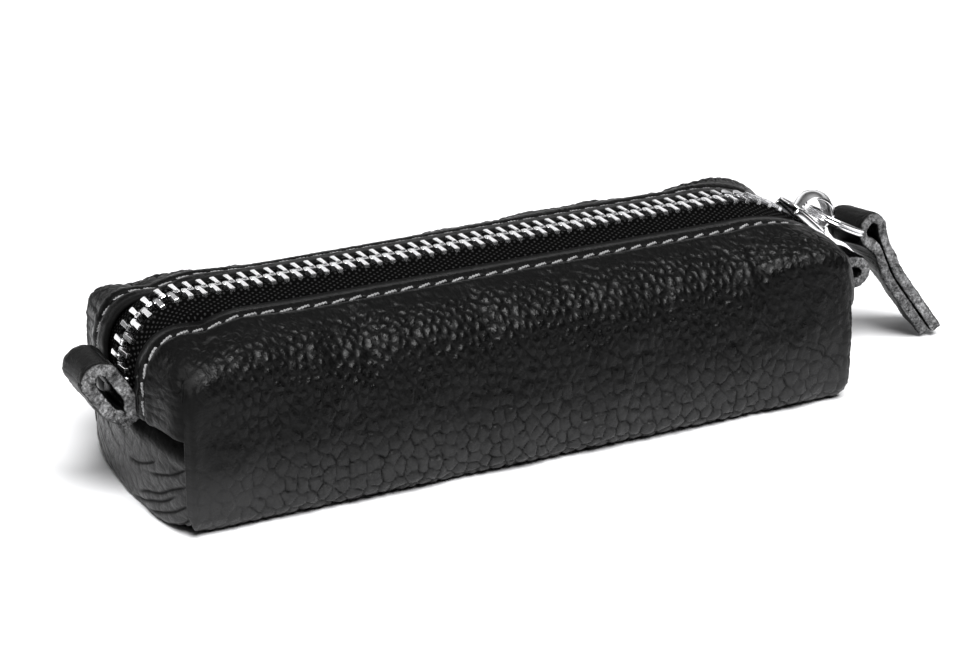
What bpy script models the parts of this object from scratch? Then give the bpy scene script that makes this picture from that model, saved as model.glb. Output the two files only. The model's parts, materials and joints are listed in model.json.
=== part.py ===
"""Zipped leather fountain pen case, in metres with +Z up.

The origin is on the flat base, midway between the two end seams. +X runs along the case to the
closed end of the zip, -Y is the front. The hide is split into panels where its seams and folds are.
"""
import math

import bmesh
import bpy
from mathutils import Matrix, Vector

COLLECTION = "fountain_pen_case"

# Hide
LENGTH = 0.140             # between the vertical seams of the two ends
HALF_LENGTH = LENGTH / 2
HALF_WIDTH = 0.025
LEATHER = 0.0014
RIM_LEATHER = 0.0012       # pared leather beside the zip
GAP = 0.0004               # gap between neighbouring pieces
BASE_RADIUS = 0.0045       # lower long edges
WALL_MID_Z = 0.010
SIDE_TOP_Z = 0.014         # where the side wall starts to round over
APEX_Z = 0.0362            # top of the rounded cross-section
MIDDLE_POWER = 3.2         # superellipse power of the shoulders at mid-length
END_POWER = 9.0            # the shoulders are squarer at the ends
SQUARING_START_X = 0.040
APEX_DROP = 0.0035         # how far the shoulders sink at the ends
APEX_DROP_START_X = 0.052
END_HALF_WIDTH = 0.0232    # half the width of the end panels
END_EDGE_X = 0.0694        # the end panels' side edges, on the seams
END_EDGE_SWELL = 0.0010    # how far the lower end panels bulge at their base
LEFT_SWELL = 0.0022        # and how much more at the horizontal seams
RIGHT_SWELL = 0.0072
SWELL_POWER_UP = 0.8
SWELL_POWER_ACROSS = 2.4
LOWER_CORNER_INSET = 0.0022
LOWER_CORNER_Z = 0.0050
LEFT_FULLNESS = 0.0032     # how far the upper end panels fall away from the zip at their corners
RIGHT_FULLNESS = 0.0086
END_BAND_PROUD = 0.0008    # the leather edges stand this much proud of the chain's middle
LEFT_CORNER_S = 0.0100     # length of chain beside the full-width part of each upper end panel
RIGHT_CORNER_S = 0.0088
CORNER_STEP = 0.0006

# Lining
LINING_TOP_Z = 0.0265
LINING_TOP = (0.1330, 0.0416)
LINING_BASE = (0.1350, 0.0456)
LINING_RADIUS = 0.0040
LINING_THICKNESS = 0.0005

# Mouth and zip
MOUTH_HALF = 0.0084        # half the gap between the two leather edges
FOLD_Y = 0.0158            # where the mouth flaps fold
FOLD_GAP = 0.0005          # from the fold line to the leather on each side of it
RIM_LEFT_X = -0.0560
RIM_RIGHT_X = 0.0525
STITCH_Y = 0.0120
THREAD_RADIUS = 0.00025
THREAD_CLEARANCE = 0.0003
SEAM_Z = 0.0185            # level of the horizontal end seams
CHAIN_LEFT_X = -0.0718     # the chain's middle line on the left end
LEFT_TURN_RADIUS = 0.012
CHAIN_TOP_Z = 0.0372
RIGHT_TURN_X = 0.0531      # where the chain starts down to the right
RIGHT_TURN_RADIUS = 0.0288
RIGHT_TURN = math.radians(55.0)
RIGHT_LAST_RADIUS = 0.006
TOOTH_PITCH = 0.00269
TOOTH_WIDTH = 0.00095
TOOTH_HALF_HEIGHT = 0.0012
TOOTH_REACH = 0.0005       # how far a tooth reaches past the middle plane
FIRST_TOOTH_S = 0.0072      # distances along the chain, from its left end
BOTTOM_STOP_S = 0.0048
TAPE_END_S = 0.0032
CORD_INNER = 0.0023
CORD_OUTER = 0.0035
TAPE_THICKNESS = 0.0006
TAPE_PROFILE = ((0.0039, -0.00035), (0.0070, -0.0012), (0.0081, -0.0031), (0.0140, -0.0041))
TOP_STOP = (0.0020, 0.0023, 0.0026)
TOP_STOP_GAP = 0.0018      # from the slider's mouth to the middle of the top stops
BOTTOM_STOP = (0.0022, 0.0070, 0.0028)
STOP_BEVEL = 0.0003

# Slider, ring and pull
SLIDER_TILT = math.radians(43.5)
SLIDER_LENGTH = 0.0108
SLIDER_FRONT_WIDTH = 0.0100
SLIDER_REAR_WIDTH = 0.0078
SLIDER_SINK = 0.00025      # the straight slider sits this much inside the curved chain
PLATE_INNER = 0.0018       # half the clear height between the plates
PLATE_THICKNESS = 0.0009
WEDGE_LENGTH = 0.0030
WEDGE_INSET = 0.0004       # from the slider's mouth to the wedge
WEDGE_HALF_WIDTH = 0.0009
GUIDE_START = 0.0004       # the side guides run along the wide half of the slider
GUIDE_END_INSET = 0.0006
GUIDE_THICKNESS = 0.0006
GUIDE_EDGE_INSET = 0.0001
UPPER_GUIDE_N = 0.0006     # how near the slider's middle the guides come
LOWER_GUIDE_N = -0.0016
UNION_OVERLAP = 0.0001
CROWN_CLEARANCE = 0.0003
CROWN_HALF_LENGTH = 0.0034
CROWN_FULLNESS = 0.7
CROWN_HEIGHT = 0.0033
CROWN_WIDTH = 0.0028
CROWN_METAL = 0.0008
PAWL_T = -0.0012           # the pawl's place along the slider and above its middle
PAWL_N = 0.0041
PAWL_RADIUS = 0.0005
RING_RADIUS = 0.0066
RING_WIRE = 0.00075
RING_T = 0.0014            # where the ring passes under the crown
RING_N = 0.0042
RING_ANGLE = math.radians(-27.0)
TAB_ANGLE = math.radians(-54.0)
TAB_LENGTH = 0.0290
TAB_WIDTH = 0.0095
TAB_FOLD_RADIUS = 0.0029
TAB_FOLD_BACK = 0.0010     # the fold sits this much inside the ring's far point
TAB_SPREAD = math.radians(0.8)
STRAP = 0.0014             # leather of the pull and the loops
PLY_GAP = 0.0003           # between the two plies of a folded strap
FOLD_START = math.radians(50.0)
FOLD_NECK = 1.5            # where the plies meet below the fold, in fold radii

# End loops
LOOP_WIDTH = 0.010
LOOP_LENGTH = 0.0068       # from the seam to the middle of the fold
LOOP_FOLD_RADIUS = 0.0025
LEFT_LOOP_ANGLE = math.radians(132.0)
LEFT_LOOP_ROOT = Vector((-0.0012, 0.0, 0.0011))     # from the ends of the chain
RIGHT_LOOP_ANGLE = math.radians(-12.0)
RIGHT_LOOP_ROOT = Vector((0.0007, 0.0, 0.0009))

PIVOT_SIZE = 0.01

BLACK_LEATHER = (0.022, 0.022, 0.023)
STRIP_BLACK = (0.030, 0.030, 0.030)
THREAD_GREY = (0.36, 0.36, 0.36)
TAPE_BLACK = (0.012, 0.012, 0.012)
LINING_BLACK = (0.030, 0.030, 0.032)
NICKEL = (0.80, 0.80, 0.80)


# ---------------------------------------------------------------- shared helpers

def clear_scene():
    """Remove every object and make the collection that holds the parts."""
    for old in list(bpy.data.objects):
        bpy.data.objects.remove(old, do_unlink=True)
    collection = bpy.data.collections.new(COLLECTION)
    bpy.context.scene.collection.children.link(collection)
    return collection


def material(name, color, roughness, metallic=0.0):
    """A Principled BSDF material."""
    made = bpy.data.materials.new(name)
    made.use_nodes = True
    shader = made.node_tree.nodes["Principled BSDF"]
    shader.inputs["Base Color"].default_value = (*color, 1.0)
    shader.inputs["Roughness"].default_value = roughness
    shader.inputs["Metallic"].default_value = metallic
    return made


def pivot(name, location):
    """An empty on a joint's axis, the parent of the pieces that turn about it."""
    made = bpy.data.objects.new(name, None)
    made.location = location
    made.empty_display_size = PIVOT_SIZE
    bpy.data.collections[COLLECTION].objects.link(made)
    return made


def hang(piece, parent):
    """Parent piece to an unturned pivot and leave it where it is."""
    piece.parent = parent
    piece.matrix_parent_inverse = Matrix.Translation(-parent.location)


def place(name, bm, surface, origin=(0.0, 0.0, 0.0), smooth_angle=35.0):
    """Turn bm into an object named name whose origin is at origin, smooth shaded."""
    bmesh.ops.translate(bm, verts=bm.verts, vec=-Vector(origin))
    mesh = bpy.data.meshes.new(name)
    bm.to_mesh(mesh)
    bm.free()
    mesh.shade_smooth()
    mesh.set_sharp_from_angle(angle=math.radians(smooth_angle))
    mesh.materials.append(surface)
    made = bpy.data.objects.new(name, mesh)
    made.location = origin
    bpy.data.collections[COLLECTION].objects.link(made)
    return made


def sheet(name, rows, thickness, surface, origin=(0.0, 0.0, 0.0), offset=-1.0):
    """A leather or cloth sheet: a loft through rows of points, given thickness by Solidify."""
    bm = bmesh.new()
    grid = [[bm.verts.new(point) for point in row] for row in rows]
    for lower, upper in zip(grid, grid[1:]):
        for a, b, c, d in zip(lower, lower[1:], upper[1:], upper):
            bm.faces.new((a, b, c, d))
    made = place(name, bm, surface, origin)
    solid = made.modifiers.new("thickness", "SOLIDIFY")
    solid.thickness = thickness
    solid.offset = offset
    solid.use_even_offset = True
    return made


def spread(first, last, count):
    """Evenly spaced values from first to last, both included."""
    return [first + (last - first) * k / (count - 1) for k in range(count)]


def smoothstep(low, high, value):
    """0 below low, 1 above high, smooth between."""
    t = min(max((value - low) / (high - low), 0.0), 1.0)
    return t * t * (3.0 - 2.0 * t)


def mirrored(rows):
    """The same rows on the other side of the middle plane, wound the other way."""
    return [[Vector((p.x, -p.y, p.z)) for p in reversed(row)] for row in rows]


# ---------------------------------------------------------------- the case's own shape

def track_stretches():
    """(length, turn) of each stretch of the chain's middle line, from the left seam to the right."""
    left_drop = CHAIN_TOP_Z - LEFT_TURN_RADIUS - SEAM_Z
    left_top_x = CHAIN_LEFT_X + LEFT_TURN_RADIUS
    last_turn = math.pi / 2 - RIGHT_TURN
    right_z = (CHAIN_TOP_Z - RIGHT_TURN_RADIUS * (1.0 - math.cos(RIGHT_TURN))
               - RIGHT_LAST_RADIUS * math.cos(RIGHT_TURN))
    return (
        (left_drop, 0.0),
        (LEFT_TURN_RADIUS * math.pi / 2, math.pi / 2),
        (RIGHT_TURN_X - left_top_x, 0.0),
        (RIGHT_TURN_RADIUS * RIGHT_TURN, RIGHT_TURN),
        (RIGHT_LAST_RADIUS * last_turn, last_turn),
        (right_z - SEAM_Z, 0.0),
    )


TRACK = track_stretches()
TRACK_LENGTH = sum(length for length, turn in TRACK)
TOP_START = TRACK[0][0] + TRACK[1][0]
TOP_END = TOP_START + TRACK[2][0]
SLIDER_S = TOP_END + RIGHT_TURN_RADIUS * SLIDER_TILT


def track(s):
    """Point, tangent and outward normal of the chain's middle line, s metres from its left end."""
    x = CHAIN_LEFT_X
    z = SEAM_Z
    heading = math.pi / 2
    for length, turn in TRACK:
        step = min(s, length)
        if turn:
            radius = length / turn
            new_heading = heading - step / radius
            x += radius * (math.sin(heading) - math.sin(new_heading))
            z += radius * (math.cos(new_heading) - math.cos(heading))
            heading = new_heading
        else:
            x += step * math.cos(heading)
            z += step * math.sin(heading)
        s -= step
        if s <= 0.0:
            break
    tangent = Vector((math.cos(heading), 0.0, math.sin(heading)))
    normal = Vector((-math.sin(heading), 0.0, math.cos(heading)))
    return Vector((x, 0.0, z)), tangent, normal


def on_top(x):
    """Distance along the chain of the place at x on its level stretch."""
    return TOP_START + x - (CHAIN_LEFT_X + LEFT_TURN_RADIUS)


def section_power(x):
    """Superellipse power of the shoulders at x."""
    return MIDDLE_POWER + (END_POWER - MIDDLE_POWER) * smoothstep(SQUARING_START_X, HALF_LENGTH, abs(x))


def section_apex(x):
    """Height of the cross-section's top at x."""
    return APEX_Z - APEX_DROP * smoothstep(APEX_DROP_START_X, HALF_LENGTH, abs(x))


def shoulder_z(x, y):
    """Height of the hide's outer surface above the point (x, y)."""
    power = section_power(x)
    rise = (1.0 - (abs(y) / HALF_WIDTH) ** power) ** (1.0 / power)
    return SIDE_TOP_Z + (section_apex(x) - SIDE_TOP_Z) * rise


def end_surface(s, y):
    """Outer surface of an end panel beside the zip, at s along the chain and at height y across."""
    point, tangent, normal = track(s)
    on_left = point.x < 0.0
    outward = (abs(y) - MOUTH_HALF) / (END_HALF_WIDTH - MOUTH_HALF)
    fullness = (LEFT_FULLNESS if on_left else RIGHT_FULLNESS) * outward ** 2 - END_BAND_PROUD
    top_drop = CHAIN_TOP_Z - shoulder_z(RIM_RIGHT_X, y)
    steepness = smoothstep(0.0, 1.0, abs(tangent.z))
    drop = top_drop + (fullness - top_drop) * steepness
    return Vector((point.x, y, point.z)) - normal * drop


# ---------------------------------------------------------------- hide

def long_panel_rows():
    """Rows of the front panel, each from its lower edge up over the shoulder to the fold line."""
    rows = []
    for x in spread(-HALF_LENGTH + GAP, HALF_LENGTH - GAP, 13):
        power = section_power(x)
        apex = section_apex(x)
        fold_angle = math.acos(((FOLD_Y + FOLD_GAP) / HALF_WIDTH) ** (power / 2))
        row = [Vector((x, -HALF_WIDTH, BASE_RADIUS + GAP)), Vector((x, -HALF_WIDTH, WALL_MID_Z))]
        for angle in spread(0.0, fold_angle, 8):
            y = HALF_WIDTH * math.cos(angle) ** (2.0 / power)
            z = SIDE_TOP_Z + (apex - SIDE_TOP_Z) * math.sin(angle) ** (2.0 / power)
            row.append(Vector((x, -y, z)))
        rows.append(list(reversed(row)))
    return rows


def make_long_panels(leather):
    """Front and back walls with their rounded shoulders."""
    rows = long_panel_rows()
    sheet("front_panel", rows, LEATHER, leather)
    sheet("back_panel", mirrored(rows), LEATHER, leather)


def make_bottom_panel(leather):
    """Flat base with the two rounded lower edges."""
    flat = HALF_WIDTH - BASE_RADIUS
    arc = [(-flat - BASE_RADIUS * math.cos(a), BASE_RADIUS * (1.0 - math.sin(a)))
           for a in spread(0.0, math.pi / 2, 6)]
    profile = arc + [(-y, z) for y, z in reversed(arc)]
    ends = (-HALF_LENGTH + 2 * GAP, HALF_LENGTH - 2 * GAP)
    sheet("bottom_panel", [[Vector((x, y, z)) for y, z in profile] for x in ends], LEATHER, leather)


def lower_end_rows(side, fullness):
    """Rows of a lower end panel, from its base to the horizontal seam; side is -1 or 1."""
    rows = []
    base_z = LEATHER + GAP
    top_z = SEAM_Z - GAP / 2
    for z in spread(base_z, top_z, 6):
        half = END_HALF_WIDTH - LOWER_CORNER_INSET * (1.0 - smoothstep(base_z, LOWER_CORNER_Z, z))
        climb = math.sin(math.pi / 2 * (z - base_z) / (top_z - base_z)) ** SWELL_POWER_UP
        swell = END_EDGE_SWELL + fullness * climb
        row = []
        for y in spread(-half, half, 9):
            x = END_EDGE_X + swell * (1.0 - (abs(y) / half) ** SWELL_POWER_ACROSS)
            row.append(Vector((side * x, y, z)))
        rows.append(row if side > 0 else list(reversed(row)))
    return rows


def make_lower_ends(leather):
    """The two lower gusset panels."""
    sheet("left_end_lower", lower_end_rows(-1, LEFT_SWELL), LEATHER, leather)
    sheet("right_end_lower", lower_end_rows(1, RIGHT_SWELL), LEATHER, leather)


def upper_end_rows(seam_s, corner_s, mouth_s):
    """Rows of one front upper end panel: wide below the corner, a narrow band above it."""
    sign = 1.0 if mouth_s > seam_s else -1.0
    stations = [(s, END_HALF_WIDTH) for s in spread(seam_s, corner_s, 5)]
    band_s = corner_s + sign * CORNER_STEP
    stations += [(s, FOLD_Y - FOLD_GAP) for s in spread(band_s, mouth_s, 8)]
    rows = []
    for s, outer in stations:
        row = [end_surface(s, -y) for y in spread(MOUTH_HALF, outer, 6)]
        rows.append(row)
    return rows if sign > 0 else list(reversed(rows))


def make_upper_ends(leather):
    """Upper end panels on each side of the zip, with the leather bands that lead to the top."""
    left = upper_end_rows(GAP / 2, LEFT_CORNER_S, on_top(RIM_LEFT_X) - GAP)
    right_corner = TRACK_LENGTH - RIGHT_CORNER_S
    right = upper_end_rows(TRACK_LENGTH - GAP / 2, right_corner, on_top(RIM_RIGHT_X) + GAP)
    for name, rows in (("left_end_upper", left), ("right_end_upper", right)):
        sheet(name + "_front", rows, RIM_LEATHER, leather)
        sheet(name + "_back", mirrored(rows), RIM_LEATHER, leather)


def make_lining(cloth):
    """Thin cloth bag inside the case, open at the top."""
    bm = bmesh.new()
    bmesh.ops.create_cube(bm, size=1.0)
    for vert in bm.verts:
        high = vert.co.z > 0.0
        length, width = LINING_TOP if high else LINING_BASE
        vert.co.x *= length
        vert.co.y *= width
        vert.co.z = LINING_TOP_Z if high else LEATHER + GAP
    lid = [face for face in bm.faces if face.normal.z > 0.9]
    bmesh.ops.delete(bm, geom=lid, context="FACES")
    low_edges = [edge for edge in bm.edges if not edge.is_boundary]
    bmesh.ops.bevel(bm, geom=low_edges, offset=LINING_RADIUS, segments=3, profile=0.5, affect="EDGES")
    bmesh.ops.recalc_face_normals(bm, faces=bm.faces)
    made = place("lining", bm, cloth)
    solid = made.modifiers.new("thickness", "SOLIDIFY")
    solid.thickness = LINING_THICKNESS
    solid.offset = -1.0


# ---------------------------------------------------------------- mouth flaps

def mouth_pivots():
    """The fold lines about which the front and the back of the mouth open."""
    fold_z = shoulder_z(0.0, FOLD_Y)
    return (pivot("front_mouth_fold", (0.0, -FOLD_Y, fold_z)),
            pivot("back_mouth_fold", (0.0, FOLD_Y, fold_z)))


def make_mouth_rims(leather, folds):
    """The leather edges beside the zip, from the fold line to the zip."""
    rows = []
    for x in spread(RIM_LEFT_X, RIM_RIGHT_X, 9):
        row = []
        for y in spread(MOUTH_HALF, FOLD_Y - FOLD_GAP, 5):
            row.append(Vector((x, -y, shoulder_z(x, y))))
        rows.append(row)
    hang(sheet("front_mouth_rim", rows, RIM_LEATHER, leather), folds[0])
    hang(sheet("back_mouth_rim", mirrored(rows), RIM_LEATHER, leather), folds[1])


def make_stitching(thread, folds):
    """One raised line of thread along each leather edge."""
    clearance = THREAD_CLEARANCE + THREAD_RADIUS
    for name, side, fold in (("front_stitching", -1.0, folds[0]), ("back_stitching", 1.0, folds[1])):
        curve = bpy.data.curves.new(name, "CURVE")
        curve.dimensions = "3D"
        curve.bevel_depth = THREAD_RADIUS
        curve.bevel_resolution = 1
        curve.use_fill_caps = True
        points = [(x, side * STITCH_Y, shoulder_z(x, STITCH_Y) + clearance)
                  for x in spread(RIM_LEFT_X, RIM_RIGHT_X, 9)]
        spline = curve.splines.new("POLY")
        spline.points.add(len(points) - 1)
        for slot, point in zip(spline.points, points):
            slot.co = (*point, 1.0)
        curve.materials.append(thread)
        made = bpy.data.objects.new(name, curve)
        bpy.data.collections[COLLECTION].objects.link(made)
        hang(made, fold)


# ---------------------------------------------------------------- zip

def make_tapes(cloth, folds):
    """Woven tapes that carry the teeth, from under the leather edge to the cord."""
    rows = []
    for s in spread(TAPE_END_S, TRACK_LENGTH - TAPE_END_S, 41):
        point, _, normal = track(s)
        rows.append([Vector((point.x, -y, point.z)) + normal * lift for y, lift in TAPE_PROFILE])
    hang(sheet("front_zipper_tape", rows, TAPE_THICKNESS, cloth, offset=0.0), folds[0])
    hang(sheet("back_zipper_tape", mirrored(rows), TAPE_THICKNESS, cloth, offset=0.0), folds[1])


def comb(name, first_s, count, side, metal):
    """A cord along the chain with count teeth that reach past the middle plane."""
    half_tooth = TOOTH_WIDTH / 2
    stations = []
    for k in range(count):
        middle = first_s + k * TOOTH_PITCH
        stations += [middle - half_tooth, middle + half_tooth]
    bm = bmesh.new()
    rings = []
    for s in stations:
        point, _, normal = track(s)
        ring = []
        for y, lift in ((CORD_OUTER, -1), (CORD_OUTER, 1), (CORD_INNER, 1), (CORD_INNER, -1)):
            place_at = Vector((point.x, side * y, point.z)) + normal * (lift * TOOTH_HALF_HEIGHT)
            ring.append(bm.verts.new(place_at))
        rings.append(ring)
    bm.faces.new(rings[0])
    bm.faces.new(list(reversed(rings[-1])))
    tooth_faces = []
    for k, (ring, following) in enumerate(zip(rings, rings[1:])):
        for j in range(4):
            quad = (ring[j], ring[j - 1], following[j - 1], following[j])
            face = bm.faces.new(quad)
            if j == 3 and k % 2 == 0:
                tooth_faces.append(face)
    grown = bmesh.ops.extrude_discrete_faces(bm, faces=tooth_faces)["faces"]
    tips = {vert for face in grown for vert in face.verts}
    reach = Vector((0.0, -side * (CORD_INNER + TOOTH_REACH), 0.0))
    bmesh.ops.translate(bm, verts=list(tips), vec=reach)
    bmesh.ops.recalc_face_normals(bm, faces=bm.faces)
    return place(name, bm, metal, smooth_angle=20.0)


def make_teeth(metal, folds):
    """The two rows of metal teeth, half a pitch apart, in mesh."""
    count = int((SLIDER_S - FIRST_TOOTH_S) / TOOTH_PITCH)
    hang(comb("front_teeth", FIRST_TOOTH_S, count, -1.0, metal), folds[0])
    hang(comb("back_teeth", FIRST_TOOTH_S + TOOTH_PITCH / 2, count, 1.0, metal), folds[1])


def track_matrix(s, lift=0.0):
    """Frame on the chain: local X along it, local Y across, local Z outward."""
    point, tangent, normal = track(s)
    axes = Matrix((tangent, Vector((0.0, 1.0, 0.0)), normal)).transposed()
    return Matrix.Translation(point + normal * lift) @ axes.to_4x4()


def block(name, size, matrix, metal):
    """A box with small rounded edges, placed by matrix."""
    bm = bmesh.new()
    bmesh.ops.create_cube(bm, size=1.0)
    bmesh.ops.scale(bm, verts=bm.verts, vec=size)
    bmesh.ops.bevel(bm, geom=bm.edges, offset=STOP_BEVEL, segments=1, profile=0.5, affect="EDGES")
    made = place(name, bm, metal)
    made.matrix_world = matrix
    return made


def make_stops(metal):
    """Two top stops past the slider and one bottom stop across both tapes."""
    top_s = SLIDER_S + SLIDER_LENGTH / 2 + TOP_STOP_GAP
    for name, side in (("front_top_stop", -1.0), ("back_top_stop", 1.0)):
        spot = track_matrix(top_s) @ Matrix.Translation((0.0, side * CORD_INNER, 0.0))
        block(name, TOP_STOP, spot, metal)
    block("bottom_stop", BOTTOM_STOP, track_matrix(BOTTOM_STOP_S), metal)


# ---------------------------------------------------------------- slider, ring and pull

SLIDER_FRAME = track_matrix(SLIDER_S, -SLIDER_SINK)


def slider_block(name, low, high, collection, taper=False):
    """A box between two corners of the slider's own frame, as a hidden tool for the union."""
    bm = bmesh.new()
    bmesh.ops.create_cube(bm, size=1.0)
    middle = (Vector(low) + Vector(high)) / 2
    size = Vector(high) - Vector(low)
    bmesh.ops.scale(bm, verts=bm.verts, vec=size)
    bmesh.ops.translate(bm, verts=bm.verts, vec=middle)
    if taper:
        for vert in bm.verts:
            if vert.co.x < middle.x:
                vert.co.y *= SLIDER_REAR_WIDTH / SLIDER_FRONT_WIDTH
    mesh = bpy.data.meshes.new(name)
    bm.to_mesh(mesh)
    bm.free()
    made = bpy.data.objects.new(name, mesh)
    made.matrix_world = SLIDER_FRAME
    made.hide_render = True
    made.display_type = "WIRE"
    collection.objects.link(made)
    return made


def in_slider(t, n):
    """World point at t along the slider and n above its middle."""
    return SLIDER_FRAME @ Vector((t, 0.0, n))


def make_slider_body(metal, level):
    """Two plates joined by the wedge that parts the teeth, with guides along their sides."""
    tools = bpy.data.collections.new("cutters")
    bpy.context.scene.collection.children.link(tools)
    half = SLIDER_LENGTH / 2
    wide = SLIDER_FRONT_WIDTH / 2
    outer = PLATE_INNER + PLATE_THICKNESS
    bm = bmesh.new()
    bmesh.ops.create_cube(bm, size=1.0)
    bmesh.ops.scale(bm, verts=bm.verts, vec=(SLIDER_LENGTH, SLIDER_FRONT_WIDTH, PLATE_THICKNESS))
    bmesh.ops.translate(bm, verts=bm.verts, vec=(0.0, 0.0, PLATE_INNER + PLATE_THICKNESS / 2))
    for vert in bm.verts:
        if vert.co.x < 0.0:
            vert.co.y *= SLIDER_REAR_WIDTH / SLIDER_FRONT_WIDTH
    body = place("slider_body", bm, metal)
    body.matrix_world = SLIDER_FRAME
    overlap = UNION_OVERLAP
    pieces = [
        slider_block("lower_plate", (-half, -wide, -outer), (half, wide, -PLATE_INNER), tools, True),
        slider_block("wedge",
                     (half - WEDGE_INSET - WEDGE_LENGTH, -WEDGE_HALF_WIDTH, -outer + overlap),
                     (half - WEDGE_INSET, WEDGE_HALF_WIDTH, outer - overlap), tools),
    ]
    guide_end = half - GUIDE_END_INSET
    edge = wide - GUIDE_EDGE_INSET
    for side in (-1.0, 1.0):
        inner, outside = sorted((side * (edge - GUIDE_THICKNESS), side * edge))
        pieces.append(slider_block("upper_guide", (GUIDE_START, inner, UPPER_GUIDE_N),
                                   (guide_end, outside, PLATE_INNER + overlap), tools))
        pieces.append(slider_block("lower_guide", (GUIDE_START, inner, -PLATE_INNER - overlap),
                                   (guide_end, outside, LOWER_GUIDE_N), tools))
    for piece in pieces:
        union = body.modifiers.new(piece.name, "BOOLEAN")
        union.operation = "UNION"
        union.object = piece
    hang(body, level)


def strap(name, path, width, thickness, surface, origin=(0.0, 0.0, 0.0)):
    """A strip of leather or metal whose middle line follows path in the XZ plane."""
    rows = [[Vector((p.x, -width / 2, p.z)), Vector((p.x, width / 2, p.z))] for p in path]
    return sheet(name, rows, thickness, surface, origin, offset=0.0)


def make_slider_crown(metal, level):
    """Arched bridge on the slider that holds the ring."""
    foot = PLATE_INNER + PLATE_THICKNESS + CROWN_CLEARANCE
    path = []
    for angle in spread(math.pi, 0.0, 11):
        t = CROWN_HALF_LENGTH * math.cos(angle)
        n = foot + CROWN_HEIGHT * math.sin(angle) ** CROWN_FULLNESS
        path.append(in_slider(t, n))
    hang(strap("slider_crown", path, CROWN_WIDTH, CROWN_METAL, metal), level)


def make_lock_pawl(metal):
    """Small cross pin of the slider's lock, on the axis about which the slider levels."""
    bm = bmesh.new()
    bmesh.ops.create_cone(bm, cap_ends=True, segments=12, radius1=PAWL_RADIUS, radius2=PAWL_RADIUS,
                          depth=CROWN_WIDTH)
    made = place("lock_pawl", bm, metal)
    axis_point = in_slider(PAWL_T, PAWL_N)
    made.matrix_world = Matrix.Translation(axis_point) @ Matrix.Rotation(math.pi / 2, 4, "X")


def ring_pivot():
    """Where the ring turns in the crown."""
    return in_slider(RING_T, RING_N)


def direction(angle):
    """Unit vector in the XZ plane at angle above +X."""
    return Vector((math.cos(angle), 0.0, math.sin(angle)))


def make_pull_ring(metal):
    """Wire ring through the crown; its origin is on its swing axis."""
    bpy.ops.mesh.primitive_torus_add(major_radius=RING_RADIUS, minor_radius=RING_WIRE,
                                     major_segments=28, minor_segments=8)
    made = bpy.context.object
    made.name = "pull_ring"
    made.data.name = "pull_ring"
    made.data.transform(Matrix.Translation((RING_RADIUS, 0.0, 0.0)))
    made.data.shade_smooth()
    made.data.materials.append(metal)
    made.matrix_world = Matrix.Translation(ring_pivot()) @ Matrix.Rotation(-RING_ANGLE, 4, "Y")
    for old in list(made.users_collection):
        old.objects.unlink(made)
    bpy.data.collections[COLLECTION].objects.link(made)


def folded_path(fold_centre, angle, fold_radius, length, spread_angle=0.0):
    """Middle line of a strip folded round fold_centre, its two plies running off along angle."""
    along = direction(angle)
    across = Vector((-along.z, 0.0, along.x))
    near = (STRAP + PLY_GAP) / 2
    neck = fold_radius * FOLD_NECK
    path = [fold_centre + along * d + across * (near + (d - neck) * math.tan(spread_angle))
            for d in spread(length, neck, 4)]
    for turn in spread(FOLD_START, 2.0 * math.pi - FOLD_START, 10):
        path.append(fold_centre + along * (fold_radius * math.cos(turn))
                    + across * (fold_radius * math.sin(turn)))
    lower = [fold_centre + along * d - across * near for d in spread(neck, length, 4)]
    return path + lower


def tab_pivot():
    """Where the pull turns on the ring."""
    return ring_pivot() + direction(RING_ANGLE) * (2.0 * RING_RADIUS)


def make_pull_tab(leather):
    """Leather strip folded over the ring; its origin is on its swing axis."""
    centre = tab_pivot() - direction(RING_ANGLE) * TAB_FOLD_BACK
    path = folded_path(centre, TAB_ANGLE, TAB_FOLD_RADIUS, TAB_LENGTH, TAB_SPREAD)
    strap("pull_tab", path, TAB_WIDTH, STRAP, leather, origin=tab_pivot())


def make_end_loops(leather):
    """Folded leather loops held in the horizontal seams at the ends of the zip."""
    roots = (
        ("left_loop", track(0.0)[0] + LEFT_LOOP_ROOT, LEFT_LOOP_ANGLE),
        ("right_loop", track(TRACK_LENGTH)[0] + RIGHT_LOOP_ROOT, RIGHT_LOOP_ANGLE),
    )
    for name, root, angle in roots:
        fold_centre = root + direction(angle) * LOOP_LENGTH
        path = folded_path(fold_centre, angle + math.pi, LOOP_FOLD_RADIUS, LOOP_LENGTH)
        strap(name, path, LOOP_WIDTH, STRAP, leather)


def main():
    clear_scene()
    hide = material("hide", BLACK_LEATHER, 0.5)
    strip = material("strip_leather", STRIP_BLACK, 0.6)
    thread = material("thread", THREAD_GREY, 0.7)
    tape = material("zip_tape", TAPE_BLACK, 0.85)
    cloth = material("lining_cloth", LINING_BLACK, 0.9)
    metal = material("nickel", NICKEL, 0.2, 1.0)
    make_long_panels(hide)
    make_bottom_panel(hide)
    make_lower_ends(hide)
    make_upper_ends(hide)
    make_lining(cloth)
    folds = mouth_pivots()
    make_mouth_rims(hide, folds)
    make_stitching(thread, folds)
    make_tapes(tape, folds)
    make_teeth(metal, folds)
    make_stops(metal)
    level = pivot("slider_level", in_slider(PAWL_T, PAWL_N))
    make_slider_body(metal, level)
    make_slider_crown(metal, level)
    make_lock_pawl(metal)
    make_pull_ring(metal)
    make_pull_tab(strip)
    make_end_loops(strip)


main()
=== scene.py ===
"""Looks of the zipped leather fountain pen case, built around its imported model. Metres, +Z up."""
import json
import math

import bmesh
import bpy
import numpy as np
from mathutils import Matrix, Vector
from mathutils.kdtree import KDTree


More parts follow.
